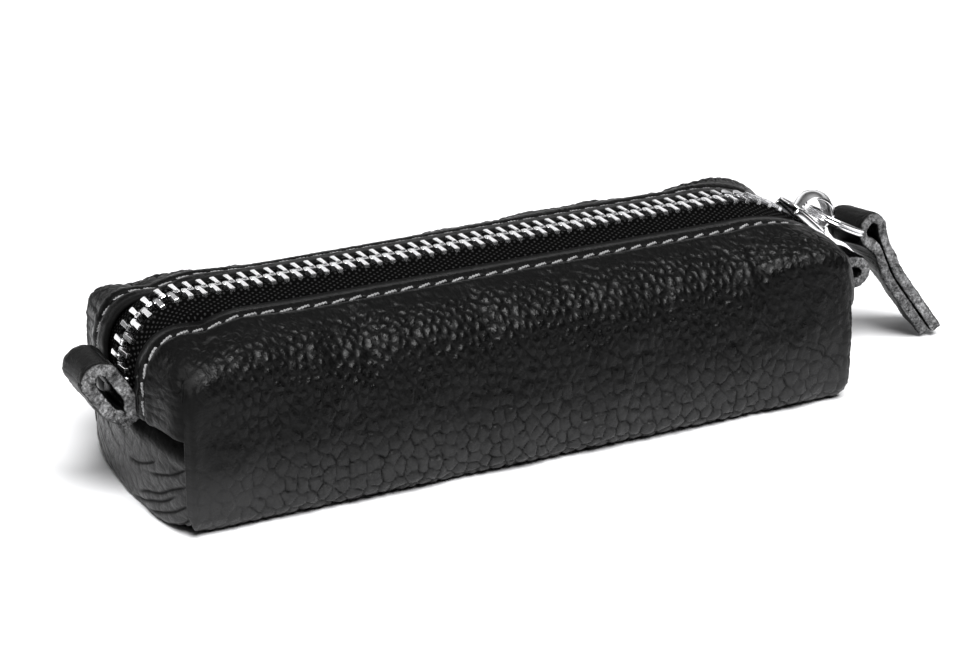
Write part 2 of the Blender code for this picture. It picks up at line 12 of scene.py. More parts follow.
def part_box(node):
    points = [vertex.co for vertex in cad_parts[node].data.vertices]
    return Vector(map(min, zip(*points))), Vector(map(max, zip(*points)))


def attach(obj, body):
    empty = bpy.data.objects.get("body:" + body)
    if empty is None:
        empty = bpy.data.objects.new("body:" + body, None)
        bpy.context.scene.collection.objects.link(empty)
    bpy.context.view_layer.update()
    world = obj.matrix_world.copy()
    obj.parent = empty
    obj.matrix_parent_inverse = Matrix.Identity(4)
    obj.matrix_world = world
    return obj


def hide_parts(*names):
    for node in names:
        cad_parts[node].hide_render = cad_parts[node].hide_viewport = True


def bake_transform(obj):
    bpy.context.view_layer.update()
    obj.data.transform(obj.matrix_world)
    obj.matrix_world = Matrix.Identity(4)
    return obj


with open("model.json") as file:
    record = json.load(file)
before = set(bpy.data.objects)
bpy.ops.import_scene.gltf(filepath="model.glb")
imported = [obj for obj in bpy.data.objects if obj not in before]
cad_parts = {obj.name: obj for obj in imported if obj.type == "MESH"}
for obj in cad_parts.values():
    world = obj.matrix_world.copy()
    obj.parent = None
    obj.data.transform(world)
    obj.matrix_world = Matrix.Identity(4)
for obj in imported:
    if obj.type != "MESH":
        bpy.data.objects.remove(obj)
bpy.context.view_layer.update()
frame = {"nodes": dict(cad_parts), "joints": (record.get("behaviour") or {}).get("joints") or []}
JOINTS = {joint["name"]: joint for joint in frame["joints"]}
MM = 0.001

# ------------------------------------------------------------ dimensions, taken from the frame
TEETH_LOW, TEETH_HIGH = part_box("front_teeth")
TOOTH_HALF_HEIGHT = 1.2 * MM
CHAIN_LEFT_X = TEETH_LOW.x + TOOTH_HALF_HEIGHT
CHAIN_TOP_Z = TEETH_HIGH.z - TOOTH_HALF_HEIGHT
SEAM_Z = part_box("left_end_lower")[1].z + 0.2 * MM
HALF_WIDTH = -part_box("front_panel")[0].y
HALF_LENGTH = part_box("front_panel")[1].x + 0.4 * MM
MOUTH_HALF = -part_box("front_mouth_rim")[1].y
FOLD_Y = abs(JOINTS["front_mouth_fold"]["pos_m"][1])
STITCH_Y = -(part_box("front_stitching")[0].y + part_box("front_stitching")[1].y) / 2

LEFT_TURN_RADIUS = 12.0 * MM
RIGHT_TURN_X = 53.1 * MM
RIGHT_TURN_RADIUS = 28.8 * MM
RIGHT_TURN = math.radians(55.0)
RIGHT_LAST_RADIUS = 6.0 * MM
SLIDER_TILT = math.radians(43.5)
BASE_RADIUS = 4.5 * MM
SIDE_TOP_Z = 14.0 * MM
APEX_Z = 36.2 * MM
MIDDLE_POWER, LEFT_POWER, RIGHT_POWER = 3.0, 6.0, 9.0
LEFT_SQUARING_X, RIGHT_SQUARING_X = 40.0 * MM, 50.0 * MM
APEX_DROP, APEX_DROP_START_X = 3.5 * MM, 52.0 * MM
LEFT_FULLNESS, RIGHT_FULLNESS, BAND_PROUD = 3.2 * MM, 8.6 * MM, 0.8 * MM
END_HALF_WIDTH = 23.2 * MM
SHOULDER_ANGLE = math.radians(41.0)
LEATHER = 1.3 * MM
BAND_LEATHER = 1.1 * MM


# ------------------------------------------------------------ small helpers

def smoothstep(low, high, value):
    t = clamp((np.asarray(value, float) - low) / (high - low))
    return t * t * (3.0 - 2.0 * t)


def clamp(value):
    return np.clip(value, 0.0, 1.0)


def gauss(value, width):
    return np.exp(-(np.asarray(value, float) / width) ** 2)


class Waves:
    """Smooth repeatable noise: a sum of plane waves with random directions and phases."""

    def __init__(self, seed, wavelength, count=24, spread=0.45):
        rng = np.random.default_rng(seed)
        direction = rng.uniform(0.0, 2.0 * math.pi, count)
        size = 2.0 * math.pi / (wavelength * rng.uniform(1.0 - spread, 1.0 + spread, count))
        self.kx, self.ky = size * np.cos(direction), size * np.sin(direction)
        self.phase = rng.uniform(0.0, 2.0 * math.pi, count)
        self.scale = math.sqrt(2.0 / count)

    def __call__(self, u, v):
        total = np.zeros(np.broadcast(u, v).shape)
        for kx, ky, phase in zip(self.kx, self.ky, self.phase):
            total += np.sin(kx * u + ky * v + phase)
        return total * self.scale


# ------------------------------------------------------------ the chain's middle line

def track_stretches():
    """(length, turn) of each stretch of the chain's middle line, from the left seam on."""
    last_turn = math.pi / 2 - RIGHT_TURN
    right_z = (CHAIN_TOP_Z - RIGHT_TURN_RADIUS * (1.0 - math.cos(RIGHT_TURN))
               - RIGHT_LAST_RADIUS * math.cos(RIGHT_TURN))
    return (
        (CHAIN_TOP_Z - LEFT_TURN_RADIUS - SEAM_Z, 0.0),
        (LEFT_TURN_RADIUS * math.pi / 2, math.pi / 2),
        (RIGHT_TURN_X - CHAIN_LEFT_X - LEFT_TURN_RADIUS, 0.0),
        (RIGHT_TURN_RADIUS * RIGHT_TURN, RIGHT_TURN),
        (RIGHT_LAST_RADIUS * last_turn, last_turn),
        (right_z - SEAM_Z, 0.0),
    )


STRETCHES = track_stretches()
BREAKS = np.concatenate([[0.0], np.cumsum([length for length, turn in STRETCHES])])
TRACK_LENGTH = BREAKS[-1]
SLIDER_S = BREAKS[3] + RIGHT_TURN_RADIUS * SLIDER_TILT


def track(s):
    """x, z and heading of the chain's middle line at distances s; straight on past both ends."""
    s = np.asarray(s, float)
    x = np.full(s.shape, CHAIN_LEFT_X)
    z = np.full(s.shape, SEAM_Z) + np.minimum(s, 0.0)
    heading = np.full(s.shape, math.pi / 2)
    for start, (length, turn) in zip(BREAKS, STRETCHES):
        step = np.clip(s - start, 0.0, length)
        if turn:
            radius = length / turn
            after = heading - step / radius
            x = x + radius * (np.sin(heading) - np.sin(after))
            z = z + radius * (np.cos(after) - np.cos(heading))
            heading = after
        else:
            x = x + step * np.cos(heading)
            z = z + step * np.sin(heading)
    z = z - np.maximum(s - TRACK_LENGTH, 0.0)
    return x, z, heading


def on_top(x):
    """Distance along the chain of the place at x on its level stretch."""
    return BREAKS[2] + x - (CHAIN_LEFT_X + LEFT_TURN_RADIUS)


def from_track(s, y, lift):
    """Points beside the chain: s along it, y across and lift outward."""
    x, z, heading = track(s)
    return np.stack([x - np.sin(heading) * lift, y + 0.0 * x, z + np.cos(heading) * lift], axis=-1)


# ------------------------------------------------------------ the hide's own shape

def section_power(x):
    left = (LEFT_POWER - MIDDLE_POWER) * smoothstep(LEFT_SQUARING_X, HALF_LENGTH, -np.asarray(x))
    right = (RIGHT_POWER - MIDDLE_POWER) * smoothstep(RIGHT_SQUARING_X, HALF_LENGTH, x)
    return MIDDLE_POWER + left + right


def section_apex(x):
    return APEX_Z - APEX_DROP * smoothstep(APEX_DROP_START_X, HALF_LENGTH, np.abs(x))


def shoulder_z(x, y):
    """Height of the rounded top above (x, y)."""
    power = section_power(x)
    rise = (1.0 - (np.abs(y) / HALF_WIDTH) ** power) ** (1.0 / power)
    return SIDE_TOP_Z + (section_apex(x) - SIDE_TOP_Z) * rise


def section(x, angle):
    """(y, z) on the cross-section at x; angle is 0 at the wall's top, 90 degrees at the apex."""
    power = section_power(x)
    y = HALF_WIDTH * np.cos(angle) ** (2.0 / power)
    z = SIDE_TOP_Z + (section_apex(x) - SIDE_TOP_Z) * np.sin(angle) ** (2.0 / power)
    return y, z


def band(s, y):
    """Outer surface of the leather band beside the zip, s along the chain and y from the middle."""
    s, y = np.broadcast_arrays(np.asarray(s, float), np.asarray(y, float))
    x, z, heading = track(s)
    outward = (y - MOUTH_HALF) / (END_HALF_WIDTH - MOUTH_HALF)
    fullness = np.where(x < 0.0, LEFT_FULLNESS, RIGHT_FULLNESS) * outward ** 2 - BAND_PROUD
    level = CHAIN_TOP_Z - shoulder_z(np.clip(x, CHAIN_LEFT_X + LEFT_TURN_RADIUS, RIGHT_TURN_X), y)
    steepness = smoothstep(0.0, 1.0, np.abs(np.sin(heading)))
    drop = level + (fullness - level) * steepness
    return np.stack([x + np.sin(heading) * drop, y, z - np.cos(heading) * drop], axis=-1)


# ------------------------------------------------------------ meshes from grids of points

EDGE_STEPS = 6
SIDEWAYS = 0.35


def unit(vectors):
    return vectors / np.linalg.norm(vectors, axis=-1, keepdims=True)


def normals_of(points):
    """Unit normals of a grid of points, from its rows crossed with its columns."""
    made = np.cross(np.gradient(points, axis=0), np.gradient(points, axis=1))
    return made / np.maximum(np.linalg.norm(made, axis=-1, keepdims=True), 1e-12)


def outward_normals(points, inside):
    """Grid normals turned so that on the whole they point away from inside."""
    made = normals_of(points)
    return made if np.sum(made * (points - np.asarray(inside, float))) > 0.0 else -made


def strip_quads(a, b):
    """Quads between two lines of vertex numbers."""
    return np.stack([a[:-1], b[:-1], b[1:], a[1:]], -1)


def grid_quads(index):
    """Quads of a grid of vertex numbers."""
    corners = [index[:-1, :-1], index[1:, :-1], index[1:, 1:], index[:-1, 1:]]
    return np.stack(corners, -1).reshape(-1, 4)


def tube_faces(rings, around, first=0):
    """Faces of a tube of rings, capped at both ends; first is its first vertex number."""
    index = first + np.arange(rings * around).reshape(rings, around)
    quads = strip_quads(index, np.roll(index, -1, axis=1)).reshape(-1, 4).tolist()
    return quads + [index[0][::-1].tolist(), index[-1].tolist()]


def add_object(name, data):
    made = bpy.data.objects.new(name, data)
    bpy.context.scene.collection.objects.link(made)
    return made


def new_object(name, verts, faces, surface, body=None, smooth=True):
    """A mesh object of this scene; body is the CAD body it moves with."""
    mesh = bpy.data.meshes.new(name)
    mesh.from_pydata(np.asarray(verts).tolist(), [], [list(map(int, face)) for face in faces])
    mesh.update()
    mesh.polygons.foreach_set("use_smooth", np.full(len(mesh.polygons), smooth))
    mesh.materials.append(surface)
    made = add_object(name, mesh)
    if body:
        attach(made, body)
    return made


def read(items, key, width=1, kind=float):
    """One property of all the edges, loops or polygons of a mesh."""
    values = np.empty(len(items) * width, kind)
    items.foreach_get(key, values)
    return values.reshape(-1, width) if width > 1 else values


def point_attribute(made, name, values):
    layer = made.data.attributes.new(name, "FLOAT", "POINT")
    layer.data.foreach_set("value", np.asarray(values, np.float32).ravel())


class Shell:
    """Closed skins of leather or cloth gathered into one mesh, with exact outer normals."""

    def __init__(self):
        self.verts, self.normals, self.values, self.faces, self.sharp = [], [], [], [], []
        self.count = 0

    def put(self, points, normals, values):
        """Keep some vertices and return their numbers."""
        index = self.count + np.arange(values.size).reshape(values.shape)
        self.count += values.size
        self.verts.append(points.reshape(-1, 3))
        self.normals.append(normals.reshape(-1, 3))
        self.values.append(values.ravel())
        return index

    def face(self, quads, turned):
        self.faces += (quads[:, ::-1] if turned else quads).tolist()

    def add(self, outer, inner, normals, value, round_edge=False):
        """One skin between two grids; round_edge rolls the edge at the first column."""
        flip = np.sum(normals_of(outer) * normals) < 0.0
        top, low = self.put(outer, normals, value), self.put(inner, -normals, value)
        first = [top[:, 0]]
        if round_edge:
            middle = (outer[:, 0] + inner[:, 0]) / 2
            half = outer[:, 0] - middle
            size = np.linalg.norm(half, axis=1, keepdims=True)
            away = outer[:, 0] - outer[:, 1]
            away = away - half / size * np.sum(away * (half / size), axis=1, keepdims=True)
            away = away * (size / np.linalg.norm(away, axis=1, keepdims=True))
            for turn in np.linspace(0.0, math.pi, EDGE_STEPS + 1)[1:-1]:
                direction = half * math.cos(turn) + away * math.sin(turn)
                first.append(self.put(middle + direction, unit(direction), value[:, 0]))
        first.append(low[:, 0])
        borders = [grid[row] for grid in (top, low) for row in (0, -1)]
        borders += [top[:, -1], low[:, -1]]
        if round_edge:
            borders += [np.array([column[row] for column in first]) for row in (0, -1)]
        else:
            borders += [top[:, 0], low[:, 0]]
        self.sharp += [np.stack([line[:-1], line[1:]], axis=-1) for line in borders]
        self.face(grid_quads(top), flip)
        self.face(grid_quads(low), not flip)
        for a, b in [*zip(first[:-1], first[1:]), (low[:, -1], top[:, -1])]:
            self.face(strip_quads(a, b), flip)
        for row, turned in ((0, flip), (-1, not flip)):
            self.face(strip_quads(top[row], low[row]), turned)
            if round_edge:
                cap = [int(column[row]) for column in first]
                self.faces.append(cap if turned else cap[::-1])

    def make(self, name, surface):
        verts = np.concatenate(self.verts)
        made = new_object(name, verts, self.faces, surface)
        # The crease attribute: the leather material paints shade from it.
        point_attribute(made, "crease", np.concatenate(self.values))
        mesh = made.data
        pairs = (read(mesh.edges, "vertices", 2, int), np.concatenate(self.sharp))
        edges, borders = (np.sort(pair, axis=1) @ (len(verts), 1) for pair in pairs)
        sharp = mesh.attributes.new("sharp_edge", "BOOLEAN", "EDGE")
        sharp.data.foreach_set("value", np.isin(edges, borders))
        corners = read(mesh.polygons, "loop_total", kind=int)
        flat = np.repeat(read(mesh.polygons, "normal", 3), corners, axis=0)
        wanted = np.concatenate(self.normals)[read(mesh.loops, "vertex_index", kind=int)]
        sideways = np.sum(wanted * flat, axis=1, keepdims=True) < SIDEWAYS
        mesh.normals_split_custom_set(np.where(sideways, flat, wanted).tolist())
        return made


# ------------------------------------------------------------ the hide's surfaces, front side

ROW_STEP = 0.27 * MM
OUTER_ROUND = 1.6 * MM
LEFT_EDGE_X, RIGHT_EDGE_X = -69.5 * MM, 70.9 * MM
LEVEL_START_X, LEVEL_END_X = LEFT_EDGE_X + OUTER_ROUND, 66.6 * MM
WIDEST_Z, TOP_CORNER_Z = 15.0 * MM, 31.0 * MM


def right_edge_x(z):
    """The right end's edge at height z, drawn in above and below where it is widest."""
    above = 2.7 * MM * clamp((z - WIDEST_Z) / (17.0 * MM)) ** 1.6
    below = 0.3 * MM * clamp((WIDEST_Z - z) / WIDEST_Z) ** 2
    return RIGHT_EDGE_X - above - below


def wall_y(x, z):
    """Half width of the hide at height z on the wall."""
    rise = clamp((z - SIDE_TOP_Z) / (section_apex(x) - SIDE_TOP_Z))
    power = section_power(x)
    return HALF_WIDTH * (1.0 - rise ** power) ** (1.0 / power)


def end_share(s):
    """0 on the top, rising to 1 at the seam of each end."""
    return np.maximum(clamp(1.0 - s / BREAKS[1]), clamp((s - BREAKS[5]) / (BREAKS[6] - BREAKS[5])))


def outer_edge(s):
    """x and z of the line where the top's hide meets the wall, in step with the chain."""
    s = np.asarray(s, float)
    level = clamp((s - BREAKS[2]) / (BREAKS[3] - BREAKS[2]))
    x = LEVEL_START_X + (LEVEL_END_X - LEVEL_START_X) * level
    z = section(x, SHOULDER_ANGLE)[1]
    left = clamp((s - BREAKS[1]) / (BREAKS[2] - BREAKS[1])) * math.pi / 2
    right = clamp((s - BREAKS[3]) / (BREAKS[5] - BREAKS[3])) * math.pi / 2
    z = z - OUTER_ROUND * (1.0 - np.sin(left)) - OUTER_ROUND * (1.0 - np.cos(right))
    z = z + (SEAM_Z - z) * end_share(s)
    x = np.where(s < BREAKS[2], LEVEL_START_X - OUTER_ROUND * np.cos(left), x)
    right_x = LEVEL_END_X + (right_edge_x(z) - LEVEL_END_X) * np.sin(right)
    return np.where(s > BREAKS[3], right_x, x), z


def hide_line(s, weight, level_y):
    """x and z of the top's hide, the share weight of the way from the mouth to the wall's edge.

    level_y is how far from the middle the same point would lie on the level part of the top.
    """
    lines = []
    for place in (s, np.clip(s, BREAKS[2], BREAKS[3])):
        start = band(place, MOUTH_HALF)
        lines.append([start[..., axis] + (edge - start[..., axis]) * weight
                      for axis, edge in zip((0, 2), outer_edge(place))])
    (x, z), (level_x, level_z) = lines
    bow = shoulder_z(level_x, level_y) - level_z
    return x, z + bow * (1.0 - smoothstep(0.0, 1.0, end_share(s)))


def top_grid():
    """Base points of the front top and end hide, rows along the chain, and the fold's column."""
    inner_cols, outer_cols = 30, 40
    s = np.linspace(0.0, TRACK_LENGTH, int(TRACK_LENGTH / ROW_STEP) + 1)[:, None]
    edge_y = wall_y(*outer_edge(s))
    to_fold = np.linspace(MOUTH_HALF, FOLD_Y, inner_cols, endpoint=False)[None, :] + 0.0 * s
    share = np.linspace(0.0, 1.0, outer_cols)[None, :]
    y = np.concatenate([to_fold, FOLD_Y + (edge_y - FOLD_Y) * share], axis=1)
    outward = (y - MOUTH_HALF) / (edge_y - MOUTH_HALF)
    weight = outward ** np.where(s < TRACK_LENGTH / 2, 2.0, 1.7)
    level_edge_y = wall_y(*outer_edge(np.clip(s, BREAKS[2], BREAKS[3])))
    x, z = hide_line(s, weight, MOUTH_HALF + (level_edge_y - MOUTH_HALF) * outward)
    return s[:, 0], np.stack([x, -y, z], axis=-1), inner_cols


def seam_points(s, y):
    """Points on the front hide at s along the chain and the distance y from the middle."""
    x, z = hide_line(s, ((y - MOUTH_HALF) / (HALF_WIDTH - MOUTH_HALF)) ** 2, y)
    return np.stack([x, -y, z], axis=-1)


def wall_grid():
    """Base points of the front wall, from the shoulder line down and under; rows run downward."""
    cols, upper, straight, bend, under = 470, 46, 28, 20, 10
    width = right_edge_x(TOP_CORNER_Z) - LEFT_EDGE_X
    x = LEFT_EDGE_X + width * np.linspace(0.0, 1.0, cols)[None, :]
    edge_x, edge_z = outer_edge(np.linspace(BREAKS[1], BREAKS[5], 3000))
    top_z = np.interp(x, edge_x, edge_z)
    upper_t, straight_t = (np.linspace(0.0, 1.0, rows, endpoint=False)[:, None]
                           for rows in (upper, straight))
    z = np.concatenate([top_z + (SIDE_TOP_Z - top_z) * upper_t,
                        SIDE_TOP_Z + (BASE_RADIUS - SIDE_TOP_Z) * straight_t + 0.0 * x])
    turn = np.linspace(0.0, math.pi / 2, bend, endpoint=False)[:, None] + 0.0 * x
    y_under = HALF_WIDTH - BASE_RADIUS - np.linspace(0.0, 2.5 * MM, under)[:, None] + 0.0 * x
    y = np.concatenate([wall_y(x, z), HALF_WIDTH - BASE_RADIUS * (1.0 - np.cos(turn)), y_under])
    z = np.concatenate([z, BASE_RADIUS * (1.0 - np.sin(turn)), 0.0 * y_under])
    sunk = np.concatenate([np.zeros(upper + straight), 1.0 - np.cos(turn[:, 0]), np.ones(under)])
    right = right_edge_x(np.minimum(z, top_z)) - 0.1 * MM * sunk[:, None]
    left = LEFT_EDGE_X + 3.2 * MM * clamp(1.0 - z / BASE_RADIUS) ** 2.2
    low_x = left + (right - left) * ((x - LEFT_EDGE_X) / width)
    top_x = np.clip(x, edge_x[0], edge_x[-1])
    x = top_x + (low_x - top_x) * smoothstep(0.0, 6.0 * MM, top_z - z)
    nearest_end = np.minimum(x - LEFT_EDGE_X, RIGHT_EDGE_X - x + 3.6 * MM)
    lifted = clamp(1.0 - nearest_end / (6.0 * MM)) ** 2 * clamp(1.0 - z / (7.0 * MM))
    return np.stack([x, -y + 0.6 * MM * lifted, z + 1.1 * MM * lifted], axis=-1)


GUSSET_ROLL, GUSSET_TOP_Z = 3.6 * MM, SEAM_Z - 0.5 * MM
GUSSET_INSET = 0.7 * MM


def gusset_grid(side):
    """Base points of the lower end panel: rolled in at the crevice, bulged, rounded to the base."""
    rolled_rows, low_rows, cols = 18, 52, 150
    across = np.linspace(-1.0, 1.0, cols)[None, :]
    roll = np.linspace(0.0, math.pi / 2, rolled_rows, endpoint=False)[:, None]
    z_low = np.linspace(GUSSET_TOP_Z - GUSSET_ROLL, 0.0, low_rows)[:, None]
    z_roll = GUSSET_TOP_Z - GUSSET_ROLL * (1.0 - np.cos(roll))
    z = np.concatenate([z_roll, z_low]) + 0.0 * across
    depth = np.concatenate([GUSSET_ROLL * (1.0 - np.sin(roll)) * 1.2, 0.0 * z_low]) + 0.0 * across
    base = clamp(1.0 - z / (3.0 * MM))
    tuck = (0.8 + 0.8 * across ** 4) * MM
    depth = depth + tuck * (1.0 - np.sqrt(1.0 - np.minimum(base, 0.999) ** 2))
    round_base = clamp(1.0 - z / BASE_RADIUS)
    half = HALF_WIDTH - BASE_RADIUS * (1.0 - np.sqrt(1.0 - round_base ** 2))
    y = (half - 0.4 * MM - 0.9 * MM * round_base) * across
    z = z + 1.3 * MM * round_base * across ** 8
    height = z / SEAM_Z
    if side < 0:
        edge = -LEFT_EDGE_X - GUSSET_INSET
        bulge = (1.6 + 1.6 * np.sin(math.pi * height) + 0.2 * height) * MM
    else:
        edge = right_edge_x(z) - GUSSET_INSET
        bulge = (1.5 + 3.2 * np.sin(math.pi * height) + 1.6 * height) * MM
    flare = 1.7 * MM * clamp(1.0 - z / (9.0 * MM)) ** 1.5 * (1.0 - across ** 10)
    x = edge + bulge * (1.0 - across ** 2) ** 0.8 + flare - depth
    return np.stack([side * x, y, z], axis=-1)


def base_grid():
    """Base points of the bottom, narrower at both ends."""
    x = np.linspace(-68.0 * MM, 66.5 * MM, 270)[:, None]
    narrow = 1.0 - 0.12 * smoothstep(60.0 * MM, 68.0 * MM, np.abs(x))
    y = np.linspace(-20.8 * MM, 20.8 * MM, 84)[None, :] * narrow
    return np.stack(np.broadcast_arrays(x, y, np.array(0.04 * MM)), axis=-1).copy()


# ------------------------------------------------------------ leather grain

def kd_tree(places):
    tree = KDTree(len(places))
    for index, place in enumerate(places.tolist()):
        tree.insert(place, index)
    tree.balance()
    return tree


class Grain:
    """Pebbles of the hide: cells round scattered seeds, met by creases."""

    def __init__(self, clouds, pebble, slender, crook, seed):
        points = np.concatenate([cloud.reshape(-1, 3)[::3] for cloud in clouds])
        rng = np.random.default_rng(seed)
        self.stretch = (slender, 1.0, 1.0)
        points = points[rng.permutation(len(points))] * self.stretch
        cell = pebble * 0.80
        self.crook = crook
        self.bends = [Waves(seed + turn, pebble * 1.1) for turn in (1, 2, 3)]
        taken, seeds, steps = {}, [], (-1, 0, 1)
        for p in points.tolist():
            key = tuple(int(math.floor(q / cell)) for q in p)
            near = [found for i in steps for j in steps for k in steps
                    for found in taken.get((key[0] + i, key[1] + j, key[2] + k), ())]
            if all((p[0] - q[0]) ** 2 + (p[1] - q[1]) ** 2 + (p[2] - q[2]) ** 2 > cell * cell
                   for q in near):
                taken.setdefault(key, []).append(p)
                seeds.append(p)
        self.seeds = self.relaxed(np.array(seeds), points)
        self.lift = rng.uniform(-1.0, 1.0, len(seeds))
        self.tree = kd_tree(self.seeds)

    @staticmethod
    def relaxed(seeds, points):
        """Seeds moved to the middle of their cells, which evens out the pebbles."""
        tree = kd_tree(seeds)
        nearest = np.array([tree.find(p)[1] for p in points[::2]])
        total = np.zeros_like(seeds)
        np.add.at(total, nearest, points[::2])
        count = np.bincount(nearest, minlength=len(seeds))[:, None]
        return np.where(count > 0, total / np.maximum(count, 1), seeds)

    def at(self, points):
        """Distance to the nearest crease and the height of the pebble, for each point."""
        shape = points.shape[:-1]
        places = points.reshape(-1, 3) * self.stretch
        x, y, z = places.T
        ways = ((x, y + z), (y - z, x), (z, x + y))
        bends = [bend(*way) for bend, way in zip(self.bends, ways)]
        places = places + self.crook * np.stack(bends, axis=-1)
        gap = np.empty(len(places))
        owner = np.empty(len(places), int)
        for row, place in enumerate(places.tolist()):
            first, second = self.tree.find_n(place, 2)
            apart = (first[0] - second[0]).length
            gap[row] = (second[2] ** 2 - first[2] ** 2) / (2.0 * apart)
            owner[row] = first[1]
        return gap.reshape(shape), self.lift[owner].reshape(shape)


# ------------------------------------------------------------ creases, as (a, b, a, b) in mm

RIGHT_CREASES = (
    (44.0, 29.5, 58.0, 20.5), (49.0, 30.5, 66.0, 17.5), (55.0, 30.0, 69.0, 21.5),
    (39.0, 24.0, 54.0, 16.0), (47.0, 21.0, 64.0, 13.0), (59.0, 31.0, 69.5, 25.0),
    (52.0, 17.0, 68.0, 9.5), (36.0, 17.5, 49.0, 11.0), (45.0, 31.0, 47.0, 24.0),
    (57.5, 24.0, 66.0, 14.5), (31.0, 27.0, 44.0, 20.0), (62.0, 15.0, 69.0, 6.0),
)
END_PANEL_CREASES = (
    (12.6, 28.2, 24.5, 29.0), (12.4, 25.6, 20.0, 26.8), (17.0, 26.6, 24.6, 25.2),
    (12.4, 23.6, 24.4, 23.4), (14.0, 21.9, 21.0, 21.2), (18.5, 28.0, 24.6, 27.2),
    (12.6, 30.0, 19.0, 31.0), (24.6, 31.0, 17.5, 33.5), (24.8, 30.2, 18.5, 29.6),
    (24.4, 31.4, 20.5, 35.0),
)
GUSSET_CREASES = (
    (-25.0, 11.2, -4.0, 2.6), (-21.5, 7.8, -2.0, 0.4), (-25.0, 7.4, -9.0, 0.5),
    (-25.0, 5.4, -17.0, 0.6), (-24.5, 14.2, -10.0, 8.4), (-22.5, 3.4, -17.5, 0.4),
    (-14.0, 12.0, -1.0, 8.0),
)


def crease_line(a, b, line, width, wobble, sag):
    """How deep each point (a, b) lies in a crease along line, which fades at both ends."""
    start, end = np.array(line[:2]) * MM, np.array(line[2:]) * MM
    run = end - start
    length = np.hypot(*run)
    along = ((a - start[0]) * run[0] + (b - start[1]) * run[1]) / length ** 2
    side = ((b - start[1]) * run[0] - (a - start[0]) * run[1]) / length
    side = side + wobble + 4.0 * sag * MM * along * (1.0 - along)
    fade = smoothstep(-0.02, 0.18, along) * smoothstep(1.02, 0.75, along)
    return gauss(side, width * MM) * fade


def creases(lines, a, b, width, wobble, sag=0.0):
    """The deepest of several creases at each point."""
    return np.maximum.reduce([crease_line(a, b, line, width, wobble, sag) for line in lines])


LONG_WAVES = Waves(3, 17.0 * MM)
MID_WAVES = Waves(5, 5.5 * MM)
FINE_WAVES = Waves(9, 1.3 * MM, count=40)
BEND_WAVES = Waves(13, 11.0 * MM)


def pebbled(grain, points, roundness, strength):
    """Height of the grain in metres and how much of a crease each point is; the leather paints that
    share as shade in its colour.

    Low on the walls the pebbles are broad and flat; towards the top they get small and domed.
    """
    broad, domed = grain
    gap, lift = broad.at(points)
    small_gap, small_lift = domed.at(points)
    uneven = 0.86 + 0.14 * MID_WAVES(points[..., 0] * 1.3, points[..., 2] + points[..., 1])
    flat = 0.45 * smoothstep(0.0, 0.5 * MM, gap) + 0.8 * np.sqrt(clamp(gap / (1.2 * MM))) - 1.25
    dome = np.sqrt(clamp(small_gap / (0.95 * MM))) - 1.0
    low = 0.54 * MM * flat + 0.10 * MM * lift
    high = 0.42 * MM * dome + 0.06 * MM * small_lift + 0.10 * MM * flat
    rise = strength * uneven * (low + (high - low) * roundness)
    # The crease share below becomes painted shade in the valleys between the pebbles.
    low_crease = 1.0 - smoothstep(0.02 * MM, 0.30 * MM, gap)
    high_crease = 1.0 - smoothstep(0.05 * MM, 0.42 * MM, small_gap)
    crease = strength * uneven * (low_crease + (high_crease - low_crease) * roundness)
    return rise, clamp(crease)


def soft_waves(points):
    """Slow unevenness of the hide, fading at its edges and beside the zip."""
    x, y, z = points[..., 0], np.abs(points[..., 1]), points[..., 2]
    made = 0.26 * MM * LONG_WAVES(x, z + y) + 0.07 * MM * MID_WAVES(x, z + y)
    made = made * smoothstep(0.0, 4.0 * MM, z) * smoothstep(0.0, 6.0 * MM, x - LEFT_EDGE_X)
    made = made * smoothstep(0.0, 5.0 * MM, right_edge_x(z) - x)
    return made * smoothstep(13.0 * MM, 17.0 * MM, y) + 0.012 * MM * FINE_WAVES(x, z + y)


def dress_wall(points, grain):
    """Grain, folds and the turned edges of the long wall."""
    x, z = points[..., 0], points[..., 2]
    shoulder = smoothstep(13.0 * MM, 23.0 * MM, z + 1.5 * MM * LONG_WAVES(x, z))
    from_left, from_right = x - LEFT_EDGE_X, right_edge_x(z) - x
    calm = smoothstep(1.0 * MM, (26.0 - 12.0 * shoulder) * MM,
                      from_left + 1.5 * MM * MID_WAVES(x, z))
    calm_right = smoothstep(4.0 * MM, 26.0 * MM, from_right - 0.5 * (z - 14.0 * MM))
    strength = (0.25 + 0.75 * calm) * (0.45 + 0.55 * calm_right)
    rise, crease = pebbled(grain, points, 0.25 + 0.75 * shoulder, strength)
    below = smoothstep(0.3 * MM, 2.5 * MM, points[0, :, 2][None, :] - z)
    slant = creases(RIGHT_CREASES, x, z, 0.16, 0.35 * MM * MID_WAVES(z, x))
    rise = rise + soft_waves(points)
    rise = rise + below * (0.40 * MM * gauss(from_left - 1.5 * MM, 1.0 * MM)
                           - 1.0 * MM * gauss(from_left, 0.55 * MM))
    rise = rise - 0.35 * MM * gauss(from_right, 0.7 * MM) * below - 0.16 * MM * slant
    # Painted shade: the crease lines and the pinched shoulder at the left end are darkened in the
    # colour; at the pinch this dims a highlight on the ridge.
    painted_pinch_shade = gauss(from_left - 0.8 * MM, 2.6 * MM) * smoothstep(19.0 * MM, 27.0 * MM, z)
    return rise, np.maximum.reduce([crease, 0.8 * slant, 0.65 * painted_pinch_shade])


